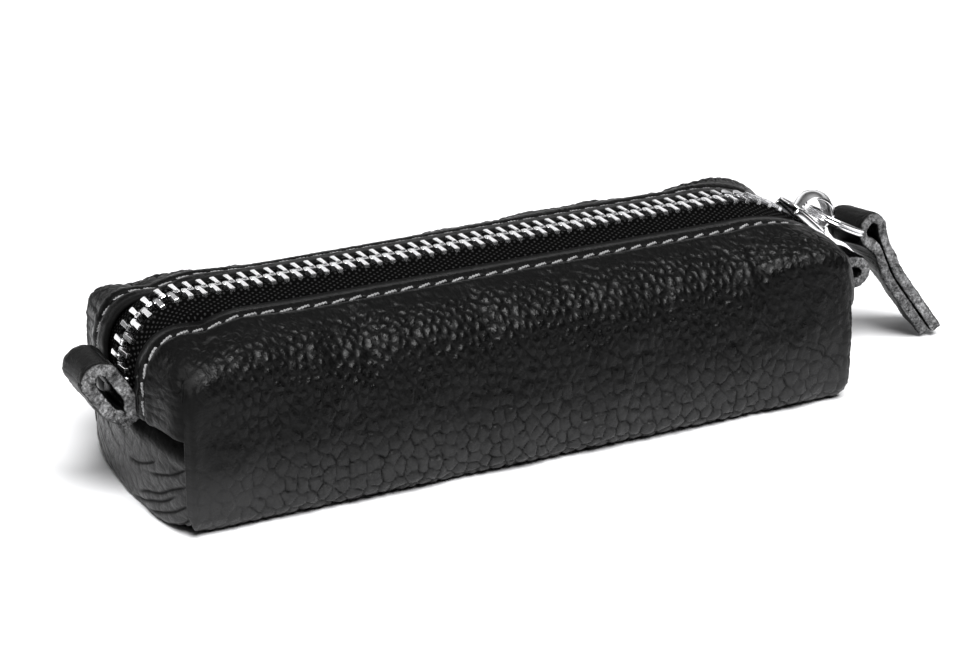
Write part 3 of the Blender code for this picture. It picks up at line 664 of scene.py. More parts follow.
def dress_top(s, points, grain):
    """Grain of the top and the upper end panels, with the seam groove beside the zip."""
    x, y, z = points[..., 0], np.abs(points[..., 1]), points[..., 2]
    along = s[:, None] + 0.0 * x
    on_ends = np.maximum(smoothstep(BREAKS[2], BREAKS[1], along),
                         smoothstep(BREAKS[3], BREAKS[5], along))
    end_rows = np.maximum(smoothstep(BREAKS[2], BREAKS[1] + 4.0 * MM, along),
                          smoothstep(BREAKS[3] + 18.0 * MM, BREAKS[5], along))
    start = (15.0 + 0.6 * MID_WAVES(along, y)) * MM
    rough = smoothstep(start, start + 2.6 * MM, y) * (1.0 - 0.92 * on_ends)
    rough = rough * (0.3 + 0.7 * smoothstep(4.0 * MM, 15.0 * MM, x - LEFT_EDGE_X))
    faint = 0.25 * smoothstep(12.6 * MM, 14.0 * MM, y)
    rise, crease = pebbled(grain, points, 1.0, faint + (1.0 - faint) * rough)
    off_seam, apart = y - STITCH_Y, y[:, -1:] - y
    for height, offset, width in ((-0.30, 0.0, 0.42), (0.32, -1.5, 1.0), (0.22, 1.6, 0.8)):
        rise = rise + height * MM * gauss(off_seam + offset * MM, width * MM)
    rise = rise + soft_waves(points) + end_rows * (
        0.35 * MM * gauss(apart - 3.2 * MM, 1.8 * MM) - 0.95 * MM * gauss(apart, 0.9 * MM)
        + 0.07 * MM * Waves(21, 6.0 * MM)(y * 0.45, z * 1.7))
    lines = creases(END_PANEL_CREASES, y, z, 0.26, 0.40 * MM * BEND_WAVES(y, z))
    lines = lines * np.where(along < TRACK_LENGTH / 2, 1.0, 0.6) * end_rows
    lip = clamp(np.minimum(along, TRACK_LENGTH - along) / (1.5 * MM))
    rise = rise - 0.16 * MM * lines - 1.5 * MM * (1.0 - np.sqrt(lip * (2.0 - lip)))
    # Painted shade: the mouth's edge, the groove along the end panels' outer edge, the pinch at the
    # left end and the end panels' crease lines are darkened in the colour; at the mouth's edge and
    # the pinch this dims highlights.
    painted_pinch_shade = gauss(x - LEFT_EDGE_X - 1.0 * MM, 3.2 * MM) * smoothstep(17.0 * MM, 21.0 * MM, y)
    return rise, np.maximum.reduce([
        crease, 0.8 * gauss(y - MOUTH_HALF, 0.75 * MM), 0.85 * gauss(apart, 0.7 * MM) * end_rows,
        0.65 * painted_pinch_shade, 0.5 * lines])


def dress_gusset(points, grain, side):
    """Fine grain and the creases that fan out from the corners at the base, with painted shade in
    the creases, the crevice and the side grooves.
    """
    y, z = points[..., 1], points[..., 2]
    rise, crease = pebbled(grain, points, 0.2, 0.20 + 0.0 * y)
    wobble = 0.10 * MM * BEND_WAVES(y, z)
    near, far = (creases(GUSSET_CREASES, a, z, 0.24, wobble, 0.9) for a in (y, -y))
    lines = np.maximum(near, 0.35 * far)
    rise = rise - 0.36 * MM * lines + 0.10 * MM * Waves(31 + int(side), 7.0 * MM)(y * 0.5, z * 1.6)
    rise = rise + 0.012 * MM * FINE_WAVES(0.4 * y, z)
    # Painted shade: the crease lines, the crevice under the upper panel and the grooves along both
    # side edges are darkened in the colour.
    crevice = smoothstep(SEAM_Z - 5.2 * MM, SEAM_Z - 2.4 * MM, z)
    corner = gauss(HALF_WIDTH - 0.6 * MM - np.abs(y), 0.7 * MM)
    return rise, np.maximum.reduce([crease, 0.85 * lines, 0.85 * crevice, 0.8 * corner])


def back_shift(points):
    """How far the back shoulder stands above and beyond the front one; the hide is uneven."""
    x, y, z = points[..., 0], points[..., 1], points[..., 2]
    swell = 1.4 * gauss(x - 30.0 * MM, 26.0 * MM) + 0.5 * gauss(x - 68.0 * MM, 9.0 * MM)
    swell = swell + 1.2 * gauss(x + 69.0 * MM, 4.0 * MM)
    where = MM * smoothstep(11.0 * MM, 19.0 * MM, y) * smoothstep(19.0 * MM, 30.0 * MM, z)
    beyond = 2.6 * smoothstep(45.0 * MM, 66.0 * MM, x)
    return np.stack([beyond * where, 0.0 * where, swell * where], axis=-1)


def back_side(grid):
    """The back's grid from the front's: mirrored, with its own shoulder."""
    made = grid * (1.0, -1.0, 1.0)
    return made + back_shift(made)


# ------------------------------------------------------------ the hide's pieces

CENTRE = np.array([0.0, 0.0, 18.0 * MM])
FLAP_START_X, FLAP_END_X = -56.0 * MM, 71.0 * MM
JOIN_REACH = 0.5 * MM


def right_flap_end():
    """Distance along the chain where the right flap ends, out on the turned corner."""
    s = np.linspace(BREAKS[3], BREAKS[4], 400)
    return float(np.interp(FLAP_END_X, track(s)[0], s))


def fold_over(made, word, half):
    """Bakes the piece's placement into its mesh."""
    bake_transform(made)


def dressed(points, look, thickness=LEATHER):
    """Outer grid, inner grid, outer normals and crease of a hide, the crease being painted as shade
    by the leather; look is its (rise, crease).
    """
    rise, crease = look
    under = outward_normals(points, CENTRE)
    outer = points + under * rise[..., None]
    return [outer, points - under * thickness, outward_normals(outer, CENTRE), crease]


def join_normals(upper, wall):
    """One shared set of normals along the line where the top meets the wall."""
    places = (upper[0][:, -1], wall[0][0])
    normals = (upper[2][:, -1], wall[2][0])
    trees, before = [kd_tree(line) for line in places], [line.copy() for line in normals]
    for mine, other in ((0, 1), (1, 0)):
        for row, place in enumerate(places[mine].tolist()):
            found = trees[other].find(place)
            if found[2] < JOIN_REACH:
                normals[mine][row] = unit(before[mine][row] + before[other][found[1]])


def cut(grids, rows, cols, rolled):
    """Part of a dressed hide, ready for Shell.add."""
    return [grid[rows, cols] for grid in grids] + [rolled]


def hide_piece(name, leather, skins, replaced, fold=None):
    """One piece of hide; fold is the (side, half) of a flap, and other pieces ride the case."""
    shell = Shell()
    for skin in skins:
        shell.add(*skin)
    made = shell.make(name, leather)
    if fold:
        fold_over(made, *fold)
    else:
        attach(made, "case")
    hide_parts(*replaced)


def make_hide(leather):
    """The pebbled skin: two long walls, two tops with their flaps, the gussets and the base."""
    s, top, fold = top_grid()
    wall, base = wall_grid(), base_grid()
    gussets = {"left": gusset_grid(-1.0), "right": gusset_grid(1.0)}
    clouds = [top, back_side(top), wall, back_side(wall), *gussets.values(), base]
    grain = (Grain(clouds, 2.9 * MM, 1.12, 0.13 * MM, 7),
             Grain(clouds, 2.35 * MM, 1.42, 0.10 * MM, 8))
    low, middle, high = (int(np.searchsorted(s, place)) for place in (
        on_top(FLAP_START_X), on_top(0.0), right_flap_end()))
    thickness = np.where(np.arange(top.shape[1]) < fold, BAND_LEATHER, LEATHER)[None, :, None]
    edge = slice(0, fold + 1)
    for word, turn in (("front", np.copy), ("back", back_side)):
        top_points, wall_points = turn(top), turn(wall)
        upper = dressed(top_points, dress_top(s, top_points, grain), thickness)
        long_wall = dressed(wall_points, dress_wall(wall_points, grain))
        join_normals(upper, long_wall)
        hide_piece(f"{word}_upper_hide", leather, [
            cut(upper, slice(0, None), slice(fold, None), False),
            cut(upper, slice(0, low + 1), edge, True), cut(upper, slice(high, None), edge, True),
        ], (f"left_end_upper_{word}", f"right_end_upper_{word}"))
        for half, rows in (("left", slice(low, middle + 1)), ("right", slice(middle, high + 1))):
            hide_piece(f"{word}_flap_{half}", leather, [cut(upper, rows, edge, True)],
                       [f"{word}_mouth_rim"], (word, half))
        hide_piece(f"{word}_wall_hide", leather, [long_wall], [f"{word}_panel"])
    for (word, points), side in zip(gussets.items(), (-1.0, 1.0)):
        skin = dressed(points, dress_gusset(points, grain, side))
        hide_piece(f"{word}_gusset_hide", leather, [skin], [f"{word}_end_lower"])
    skin = dressed(base, pebbled(grain, base, 0.1, 1.0))
    hide_piece("base_hide", leather, [skin], ["bottom_panel"])


# ------------------------------------------------------------ zip: tape, teeth, stitching, stops

TOOTH_PITCH = 2.69 * MM
FIRST_TOOTH_S = 7.2 * MM
TAPE_END_S = 3.2 * MM
TAPE_LINE = (
    (0.9, -0.30), (2.2, -0.30), (2.5, 0.28), (3.0, 0.42), (3.45, 0.30), (3.8, -0.22),
    (4.6, -0.50), (6.0, -0.85), (7.4, -1.35), (8.3, -2.6), (9.6, -3.2), (13.4, -4.2),
)
TAPE_LIFT_AT_ENDS = ((6.0, 0.0), (7.4, 0.45), (8.3, 1.6), (9.6, 2.1), (13.4, 2.6))


def zip_parts(name, place, surface, replaced):
    """One row of the zip on each side: two halves, and the ends that stay on the case."""
    flap_end = right_flap_end()
    spans = (
        ("left", (on_top(FLAP_START_X), on_top(0.0))),
        ("right", (on_top(0.0), flap_end)),
        ("ends", (0.0, on_top(FLAP_START_X)), (flap_end, TRACK_LENGTH)),
    )
    for word, *ranges in spans:
        for side, sign in (("front", -1.0), ("back", 1.0)):
            made = place(f"{side}_{name}_{word}", sign, ranges, surface)
            if word == "ends":
                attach(made, "case")
            else:
                fold_over(made, side, word)
            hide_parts(f"{side}_{replaced}")


def make_tape(name, sign, ranges, surface):
    """Woven tape beside the teeth, with its cord and the dip under the leather."""
    line = np.array(TAPE_LINE) * MM
    reach = np.linspace(line[0, 0], line[-1, 0], 64)
    lift = np.interp(reach, line[:, 0], line[:, 1])
    blur = np.array([1, 2, 3, 2, 1]) / 9.0
    lift = np.convolve(np.pad(lift, 2, mode="edge"), blur, mode="valid")
    raised = np.array(TAPE_LIFT_AT_ENDS) * MM
    steeper = np.interp(reach, raised[:, 0], raised[:, 1])
    cloth = Shell()
    weave = []
    for low, high in ranges:
        low, high = max(low, TAPE_END_S), min(high, TRACK_LENGTH - 1.0 * MM)
        s = np.linspace(low, high, max(3, int((high - low) / (0.5 * MM))))[:, None]
        steep = smoothstep(0.0, 1.0, np.abs(np.sin(track(s)[2])))
        height = lift[None, :] + steeper[None, :] * steep
        outer, inner, above = (from_track(s, sign * reach[None, :], height + step * MM)
                               for step in (0.0, -0.45, 1.0))
        normals = normals_of(outer)
        up = above - outer
        if np.sum(normals * up) < 0.0:
            normals = -normals
        cloth.add(outer, inner, normals, 0.0 * outer[..., 0])
        flat = np.stack(np.broadcast_arrays(s, reach[None, :]), axis=-1).reshape(-1, 2)
        weave += [flat, flat]
    made = cloth.make(name, surface)
    weave = np.concatenate(weave) / MM
    layer = made.data.uv_layers.new(name="weave")
    corners = read(made.data.loops, "vertex_index", kind=int)
    layer.data.foreach_set("uv", weave[corners].ravel())
    return made


TOOTH_BOXES = (
    ((-0.54, 0.20, -1.20), (0.54, 3.55, 1.05)),
    ((-0.70, -0.58, -0.80), (0.70, 0.80, 0.88)),
)
TOOTH_BEVEL = 0.13


def tooth_template():
    """One tooth: a clamp round the tape's cord and the head that meshes with the other side."""
    bm = bmesh.new()
    for low, high in TOOTH_BOXES:
        made = bmesh.ops.create_cube(bm, size=1.0)["verts"]
        size = [b - a for a, b in zip(low, high)]
        middle = [(a + b) / 2 for a, b in zip(low, high)]
        bmesh.ops.scale(bm, verts=made, vec=size)
        bmesh.ops.translate(bm, verts=made, vec=middle)
        for vert in made:
            if vert.co.y < low[1] + 0.01:
                vert.co.x *= 0.72
            elif vert.co.z > 0.0:
                vert.co.z -= 0.12
    bmesh.ops.bevel(bm, geom=list(bm.edges), offset=TOOTH_BEVEL, segments=3, affect="EDGES",
                    clamp_overlap=True)
    bm.verts.index_update()
    verts = np.array([v.co for v in bm.verts]) * MM
    faces = [[v.index for v in f.verts] for f in bm.faces]
    bm.free()
    return verts, faces


def make_teeth(name, sign, ranges, surface):
    """A comb of teeth; the two sides stand half a pitch apart."""
    verts, faces = tooth_template()
    if sign < 0.0:
        faces = [face[::-1] for face in faces]
    first = FIRST_TOOTH_S + (0.0 if sign < 0.0 else TOOTH_PITCH / 2)
    all_verts, all_faces = [], []
    for s in np.arange(first, SLIDER_S - 6.0 * MM, TOOTH_PITCH):
        if not any(low <= s < high for low, high in ranges):
            continue
        x, z, heading = (float(value) for value in track(np.array(s)))
        along = np.array([math.cos(heading), 0.0, math.sin(heading)])
        up = np.array([-math.sin(heading), 0.0, math.cos(heading)])
        placed = np.array([x, 0.0, z]) + verts[:, :1] * along + verts[:, 2:] * up
        placed[:, 1] += sign * verts[:, 1]
        all_faces += [[i + len(all_verts) * len(verts) for i in face] for face in faces]
        all_verts.append(placed)
    return new_object(name, np.concatenate(all_verts), all_faces, surface, smooth=False)


STITCH_PITCH = 3.45 * MM
STITCH_SHOWN = 0.85
FIRST_STITCH_S = 1.6 * MM
THREAD_RADIUS = 0.25 * MM


def make_stitches(name, sign, ranges, surface):
    """Short lengths of twisted thread that dive into the leather at both ends."""
    rings, around = 22, 14
    verts, faces = [], []
    rng = np.random.default_rng(11 if sign < 0.0 else 12)
    sunk = (0.36 if sign < 0.0 else 0.62) * MM
    t = np.linspace(0.0, 1.0, rings)[:, None]
    turn = np.linspace(0.0, 2.0 * math.pi, around, endpoint=False)[None, :]
    rise = 0.34 * MM * np.sqrt(clamp(1.0 - (2.0 * t - 1.0) ** 4)) - sunk
    thick = THREAD_RADIUS * (0.55 + 0.45 * clamp(np.minimum(t, 1.0 - t) / 0.12) ** 0.5)
    radius = thick * (1.0 + 0.34 * np.cos(2.0 * turn - 2.0 * math.pi * 4.2 * t))
    for start in np.arange(FIRST_STITCH_S, TRACK_LENGTH - 1.0 * MM, STITCH_PITCH):
        wander = rng.uniform(-0.12, 0.12, 4) * MM
        middle = start + STITCH_PITCH * STITCH_SHOWN / 2
        if not any(low <= middle < high for low, high in ranges):
            continue
        s = start + STITCH_PITCH * STITCH_SHOWN * t
        y = STITCH_Y + wander[0] - (0.80 * MM + wander[1]) * (t - 0.5)
        seam = seam_points(s, y)
        across = unit(seam_points(s, y + 0.2 * MM) - seam)
        up = np.cross(across, unit(np.gradient(seam[:, 0], axis=0)[:, None, :]))
        ring = (seam + up * rise[..., None] + across * (radius * np.cos(turn))[..., None]
                + up * (radius * np.sin(turn))[..., None]) * (1.0, -sign, 1.0)
        block = tube_faces(rings, around, len(verts) * rings * around)
        faces += block if sign > 0.0 else [face[::-1] for face in block]
        verts.append((ring + back_shift(ring)).reshape(-1, 3))
    return new_object(name, np.concatenate(verts), faces, surface)


# ------------------------------------------------------------ slider, ring, pull and loops

RING_PIVOT = np.array(JOINTS["ring_swing"]["pos_m"])
TAB_PIVOT = np.array(JOINTS["pull_swing"]["pos_m"])
RING_RADIUS = float(np.linalg.norm(TAB_PIVOT - RING_PIVOT)) / 2
SLIDER_LOW, SLIDER_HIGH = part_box("slider_body")
SLIDER_CENTRE = np.array((SLIDER_LOW + SLIDER_HIGH) / 2)
SLIDER_ALONG = np.array([math.cos(SLIDER_TILT), 0.0, -math.sin(SLIDER_TILT)])
SLIDER_UP = np.array([math.sin(SLIDER_TILT), 0.0, math.cos(SLIDER_TILT)])
PLATE_OUTER = 2.7 * MM
TOP_PLATE = ((0.30, 1.8), (0.0, 2.0), (0.0, 2.45), (0.10, 2.62), (0.32, 2.72), (1.2, 2.80),
             (2.6, 2.86))
LOWER_PLATE = ((2.6, -2.72), (0.32, -2.66), (0.08, -2.55), (0.0, -2.3), (0.0, -2.0), (0.25, -1.8))
ACROSS = np.array([0.0, 1.0, 0.0])
WIRE_RADIUS, WIRE_SHIFT = 0.42 * MM, 0.38 * MM


def in_slider(t, y, n):
    t, y, n = np.broadcast_arrays(t, y, n)
    return (SLIDER_CENTRE + t[..., None] * SLIDER_ALONG + n[..., None] * SLIDER_UP
            + y[..., None] * ACROSS)


def signed_power(value, power):
    return np.sign(value) * np.abs(value) ** power


def lofted(rings, name, surface, body):
    """A closed solid through rings of points, capped at both ends."""
    rings = np.asarray(rings)
    made = new_object(name, rings.reshape(-1, 3), tube_faces(*rings.shape[:2]), surface, body)
    bm = bmesh.new()
    bm.from_mesh(made.data)
    bmesh.ops.recalc_face_normals(bm, faces=bm.faces)
    bm.to_mesh(made.data)
    bm.free()
    return made


def plate_ring(inset, n, around=96):
    """Outline of a slider plate, wide at its mouth and rounded at its tail, drawn in by inset."""
    turn = np.linspace(0.0, 2.0 * math.pi, around, endpoint=False)
    t, y = (signed_power(value, 2.0 / 3.4) for value in (np.cos(turn), np.sin(turn)))
    width = (4.45 + 0.55 * t) * MM
    return in_slider((5.4 * MM - inset) * t, (width - inset) * y, n)


def make_slider(metal):
    """The slider: two domed plates, side flanges with a slot, the bridge for the ring."""
    for name, outline in (("slider_top_plate", TOP_PLATE), ("slider_lower_plate", LOWER_PLATE)):
        rings = [plate_ring(inset * MM, n * MM) for inset, n in outline]
        made = lofted(rings, name, metal, "slider")
        if outline is TOP_PLATE:
            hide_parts("slider_body")
    for side, sign in (("front", -1.0), ("back", 1.0)):
        for level, low, high in (("upper", 0.55, 2.1), ("lower", -2.1, -1.45)):
            n = (low + high) / 2 + (high - low) / 2 * np.array([-1, -1, -0.8, 0.8, 1, 1, 0.8, -0.8])
            rings = []
            for t in np.linspace(-4.3, 4.9, 24):
                edge = (4.45 + 0.55 * t / 5.4) * (1.0 - 0.5 * abs(t / 5.6) ** 7)
                y = edge - 0.35 + 0.35 * np.array([-0.7, 0.7, 1, 1, 0.7, -0.7, -1, -1])
                rings.append(in_slider(t * MM, sign * y * MM, n * MM))
            lofted(rings, f"slider_{level}_flange_{side}", metal, "slider")
    wedge = [in_slider(t * MM, np.array([-w, w, w, -w]) * MM, np.array([-2.0, -2.0, 2.0, 2.0]) * MM)
             for t, w in ((5.0, 0.5), (4.0, 0.5), (2.6, 0.32), (1.8, 0.15))]
    lofted(wedge, "slider_wedge", metal, "slider")
    turn = np.linspace(math.pi, 0.0, 44)[:, None]
    wide = np.linspace(-1.0, 1.0, 21)[None, :]
    grids = []
    for shrink in (0.0, 0.55 * MM):
        t = (4.4 * MM - shrink) * np.cos(turn) * (1.0 - 0.06 * wide ** 2) + 1.9 * MM
        rise = (6.2 * MM - shrink) * np.sin(turn) ** 0.62 * (1.0 - 0.16 * wide ** 2 * np.sin(turn))
        y = wide * (1.35 + 1.25 * np.sin(turn) ** 0.8) * MM
        grids.append(in_slider(t, y, PLATE_OUTER - 0.1 * MM + rise))
    bridge = Shell()
    middle = in_slider(0.0, 0.0, PLATE_OUTER)
    bridge.add(*grids, outward_normals(grids[0], middle), 0.0 * grids[0][..., 0])
    made = bridge.make("slider_bridge", metal)
    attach(made, "slider")
    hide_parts("slider_crown")


def make_ring(metal):
    """The ring, two turns of wire side by side, closed on the slider's bridge."""
    steps, around = 160, 20
    turn = np.linspace(0.0, 2.0 * math.pi, steps + 1)[:-1, None]
    small = np.linspace(0.0, 2.0 * math.pi, around, endpoint=False)
    away = unit(TAB_PIVOT - RING_PIVOT)
    centre = RING_PIVOT + away * RING_RADIUS
    radial = (away * np.cos(turn) + ACROSS * np.sin(turn))[:, None, :]
    verts, faces = [], []
    for shift in (-WIRE_SHIFT, WIRE_SHIFT):
        reach = RING_RADIUS + WIRE_RADIUS * np.cos(small)
        height = shift + WIRE_RADIUS * np.sin(small)
        ring = centre + radial * reach[:, None] + np.cross(away, ACROSS) * height[:, None]
        index = len(verts) * steps * around + np.arange(steps * around).reshape(steps, around)
        side, ahead = np.roll(index, -1, axis=1), np.roll(index, -1, axis=0)
        corners = [index, ahead, np.roll(ahead, -1, axis=1), side]
        faces += np.stack(corners, -1).reshape(-1, 4).tolist()
        verts.append(ring.reshape(-1, 3))
    made = new_object("ring_wire", np.concatenate(verts), faces, metal, "ring")
    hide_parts("pull_ring")


def smooth_path(points, step):
    """Points resampled evenly along a Catmull-Rom curve, and the distance along it of each."""
    points = np.asarray(points)
    padded = np.concatenate([2 * points[:1] - points[1:2], points, 2 * points[-1:] - points[-2:-1]])
    fine = []
    for a, b, c, d in zip(padded[:-3], padded[1:-2], padded[2:-1], padded[3:]):
        for u in np.linspace(0.0, 1.0, 14, endpoint=False):
            fine.append(0.5 * (2 * b + (c - a) * u + (2 * a - 5 * b + 4 * c - d) * u ** 2
                               + (3 * b - a - 3 * c + d) * u ** 3))
    fine.append(points[-1])
    fine = np.array(fine)
    gone = np.concatenate([[0.0], np.cumsum(np.linalg.norm(np.diff(fine, axis=0), axis=1))])
    even = np.linspace(0.0, gone[-1], int(gone[-1] / step) + 1)
    return np.stack([np.interp(even, gone, column) for column in fine.T], axis=-1), even


def twisted(place, tip, twist):
    """Points turned about the line from the tab's pivot to tip, by more and more along it."""
    hinge = TAB_PIVOT * (1.0, 0.0, 1.0)
    length = np.linalg.norm(tip)
    along = np.array([tip[0], 0.0, tip[1]]) / length
    up = np.cross(along, ACROSS)
    offset = place - hinge
    reach, side, lift = offset @ along, offset[..., 1], offset @ up
    angle = twist[0] + (twist[1] - twist[0]) * smoothstep(0.0, 0.45 * length, reach)
    turned_side = side * np.cos(angle) - lift * np.sin(angle)
    turned_lift = side * np.sin(angle) + lift * np.cos(angle)
    return (hinge + reach[..., None] * along + turned_side[..., None] * ACROSS
            + turned_lift[..., None] * up)


def make_strap(name, path, width, thickness, surface, body, replaced, seed, twist=None):
    """A strip of thick leather along path: smooth faces, raw uneven edges, frayed ends."""
    line, gone = smooth_path(path, 0.22 * MM)
    tangent = unit(np.gradient(line, axis=0))
    turn = np.linspace(0.0, 2.0 * math.pi, 88, endpoint=False)[None, :]
    wide = signed_power(np.cos(turn), 2.0 / 9.0)
    thick = signed_power(np.sin(turn), 2.0 / 5.0)
    coarse, fine = Waves(seed, 5.0 * MM), Waves(seed + 1, 1.1 * MM)
    rough = Waves(seed + 2, 0.45 * MM, 40)
    run, half = gone[:, None], width / 2
    raw = smoothstep(half - 0.42 * MM, half - 0.12 * MM, np.abs(wide) * half)
    edge = 0.16 * MM * coarse(run, np.sign(wide) * 9.0 * MM) + 0.07 * MM * fine(run, thick * MM)
    y = wide * (half + edge + 0.055 * MM * rough(run, thick * thickness) * raw)
    depth = thick * thickness / 2 * (1.0 + 0.05 * coarse(run, y))
    depth = depth + 0.035 * MM * fine(run, y) * (1.0 - raw) + 0.05 * MM * rough(run, y) * raw
    place = np.stack([line[:, None, 0] - tangent[:, None, 1] * depth, y,
                      line[:, None, 1] + tangent[:, None, 0] * depth], axis=-1)
    if twist:
        place = twisted(place, path[0] - TAB_PIVOT[[0, 2]], twist)
    made = lofted(place, name, surface, body)
    values = np.broadcast_to(raw, depth.shape).copy()
    values[0], values[-1] = 1.0, 1.0
    point_attribute(made, "raw", values)
    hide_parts(replaced)


def strap_path(origin, tilt, there, fold, back):
    """Middle line of a folded strap, out from origin, round its fold and back, in the XZ plane.

    there and back hold (along, across) pairs in mm, and fold is (reach, radius, angles).
    """
    along = np.array([math.cos(math.radians(tilt)), math.sin(math.radians(tilt))])
    across = np.array([-along[1], along[0]])
    reach, radius, angles = fold
    bend = [(reach + radius * math.cos(turn), radius * math.sin(turn))
            for turn in np.radians(angles)]
    return [origin + along * (d * MM) + across * (h * MM) for d, h in [*there, *bend, *back]]


PULL_THERE = ((30.2, 1.24), (24.0, 1.22), (18.0, 1.20), (12.0, 1.20), (6.0, 1.22), (3.0, 1.45))
PULL_BACK = ((3.0, -1.48), (6.0, -1.24), (10.5, -1.22), (15.0, -1.21), (21.0, -1.20), (29.0, -1.18))
PULL_TWIST = (math.radians(-9.0), math.radians(13.0))


def make_straps(strip):
    """The pull folded over the ring and the two loops held in the end seams."""
    origin = TAB_PIVOT[[0, 2]] + np.array([-0.2, 0.8]) * MM
    fold = (0.0, 2.55, np.linspace(72.0, 288.0, 11))
    path = strap_path(origin, -53.3, PULL_THERE, fold, PULL_BACK)
    make_strap("pull_strap", path, 10.4 * MM, 2.4 * MM, strip, "pull", "pull_tab", 41, PULL_TWIST)
    ends = np.stack(track(np.array([0.0, TRACK_LENGTH]))[:2], axis=-1)
    for name, end, root, tilt, seed, radius, reach, width, thickness in (
        ("left_loop", ends[0], (-0.7, -1.6), 122.5, 51, 2.4, 9.7, 10.9, 2.8),
        ("right_loop", ends[1], (0.6, 0.9), -12.0, 61, 2.1, 7.3, 10.0, 2.4),
    ):
        there = ((-0.8, 1.1), (1.6, 1.25), (4.0, radius - 0.1))
        back = [(d, -h) for d, h in there[::-1]]
        fold = (reach, radius, np.linspace(78.0, -78.0, 9))
        path = strap_path(end + np.array(root) * MM, tilt, there, fold, back)
        make_strap(f"{name}_strap", path, width * MM, thickness * MM, strip, "case", name, seed)


# ------------------------------------------------------------ lining

LINING_HALF, LINING_FLAT = 66.0 * MM, 132.0 * MM
LINING_Z = 16.6 * MM


def make_lining(cloth):
    """A thin cloth bag inside the hide, open along the zip, with soft folds."""
    x = np.linspace(-LINING_HALF, LINING_HALF, 200)[:, None]
    size = (1.0 - np.abs(x / (66.6 * MM)) ** 9) ** (1.0 / 9.0)
    turn = np.linspace(math.radians(40.0), math.radians(320.0), 150)[None, :]
    y = -signed_power(np.sin(turn), 0.5) * 22.2 * MM * size
    z = LINING_Z + signed_power(np.cos(turn), 0.5) * 14.6 * MM * (0.25 + 0.75 * size)
    folds = 0.35 * MM * Waves(71, 14.0 * MM)(x, turn * 20.0 * MM) * size
    points = np.stack(np.broadcast_arrays(x, y, z), axis=-1).copy()
    points = points + outward_normals(points, CENTRE) * (folds - 0.2 * MM)[..., None]
    faces = grid_quads(np.arange(folds.size).reshape(folds.shape))
    made = new_object("lining_cloth", points.reshape(-1, 3), faces, cloth, "case")
    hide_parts("lining")


# ------------------------------------------------------------ materials

def grey_ramp(tree, value, stops, blue=1.0):
    """A colour ramp of greys in a node tree, each stop a (place, grey) pair."""
    made = tree.nodes.new("ShaderNodeValToRGB")
    elements = made.color_ramp.elements
    while len(elements) < len(stops):
        elements.new(0.5)
    for element, (place, grey) in zip(elements, stops):
        element.position = place
        element.color = (grey, grey, grey * blue, 1.0)
    tree.links.new(value, made.inputs["Fac"])
    return made.outputs["Color"]


class Nodes:
    """Short way to write a procedural material."""

    def __init__(self, name):
        self.material = bpy.data.materials.new(name)
        self.material.use_nodes = True
        self.tree = self.material.node_tree
        self.shader = next(n for n in self.tree.nodes if n.type == "BSDF_PRINCIPLED")
        self.place = self.node("ShaderNodeTexCoord").outputs["Object"]

    def node(self, kind, inputs=(), **settings):
        """A new node; inputs holds (socket, constant or output to link) pairs."""
        made = self.tree.nodes.new(kind)
        for key, value in settings.items():
            setattr(made, key, value)
        for key, value in inputs:
            if isinstance(value, bpy.types.NodeSocket):
                self.tree.links.new(value, made.inputs[key])
            else:
                made.inputs[key].default_value = value
        return made

    def noise(self, scale, detail, rough, vector=None):
        return self.node("ShaderNodeTexNoise", (
            ("Scale", scale), ("Detail", detail), ("Roughness", rough),
            ("Vector", vector or self.place))).outputs["Fac"]

    def attribute(self, name):
        return self.node("ShaderNodeAttribute", attribute_name=name).outputs["Fac"]

    def ramp(self, value, *stops):
        return grey_ramp(self.tree, value, stops, 1.01)

    def maths(self, operation, a, b):
        return self.node("ShaderNodeMath", ((0, a), (1, b)), operation=operation).outputs["Value"]

    def linear(self, value, factor, offset):
        return self.maths("ADD", self.maths("MULTIPLY", value, factor), offset)

    def mix(self, share, a, b):
        inputs = (("Factor", share), ("A", a), ("B", b))
        return self.node("ShaderNodeMix", inputs, data_type="RGBA").outputs["Result"]

    def bump(self, height, distance, strength, before=None):
        inputs = [("Distance", distance), ("Strength", strength), ("Height", height)]
        if before:
            inputs.append(("Normal", before))
        return self.node("ShaderNodeBump", inputs).outputs["Normal"]

    def finish(self, color, roughness, normal=None, metallic=0.0, specular=None):
        links = (("Base Color", color), ("Roughness", roughness), ("Normal", normal))
        for key, output in links:
            if output:
                self.tree.links.new(output, self.shader.inputs[key])
        self.shader.inputs["Metallic"].default_value = metallic
        if specular is not None:
            self.shader.inputs["Specular IOR Level"].default_value = specular
        return self.material


def leather_material():
    """Black grained hide: satin pebbles with pores, dull creases with painted shade, and painted
    light low on the walls in place of light from the floor, so darker towards the top.
    """
    m = Nodes("hide_leather")
    crease = m.attribute("crease")
    drawn = m.node("ShaderNodeMapping", (("Scale", (1.0, 0.4, 1.0)), ("Vector", m.place)))
    drawn = drawn.outputs["Vector"]
    pores = m.noise(2600.0, 3.0, 0.6, drawn)
    patches = m.noise(140.0, 2.0, 0.5)
    split = m.node("ShaderNodeSeparateXYZ", (("Vector", m.place),))
    height = m.maths("MULTIPLY", split.outputs["Z"], 30.0)
    # Painted light: the colour is lighter low on the walls (up to about 6 mm) and much darker from
    # about 17 mm up, standing in for light thrown up from the pale floor; the patches are random
    # tone.
    tone_and_painted_bounce = m.mix(patches, m.ramp(height, (0.17, 0.031), (0.50, 0.0022)),
                m.ramp(height, (0.17, 0.046), (0.50, 0.0044)))
    # Painted shade: where the crease attribute is high (grain creases, crease lines, the crevice,
    # the edge grooves, the mouth's edge and the pinches) the colour is blended to near black.
    color = m.mix(crease, tone_and_painted_bounce, m.ramp(patches, (0.3, 0.0006), (0.7, 0.0012)))
    rough = m.maths("ADD", m.linear(patches, 0.14, 0.215), m.maths("MULTIPLY", crease, 0.60))
    normal = m.bump(pores, 0.00011, 0.9)
    normal = m.bump(m.noise(1100.0, 2.0, 0.5, drawn), 0.00016, 0.7, normal)
    return m.finish(color, rough, normal, specular=0.26)


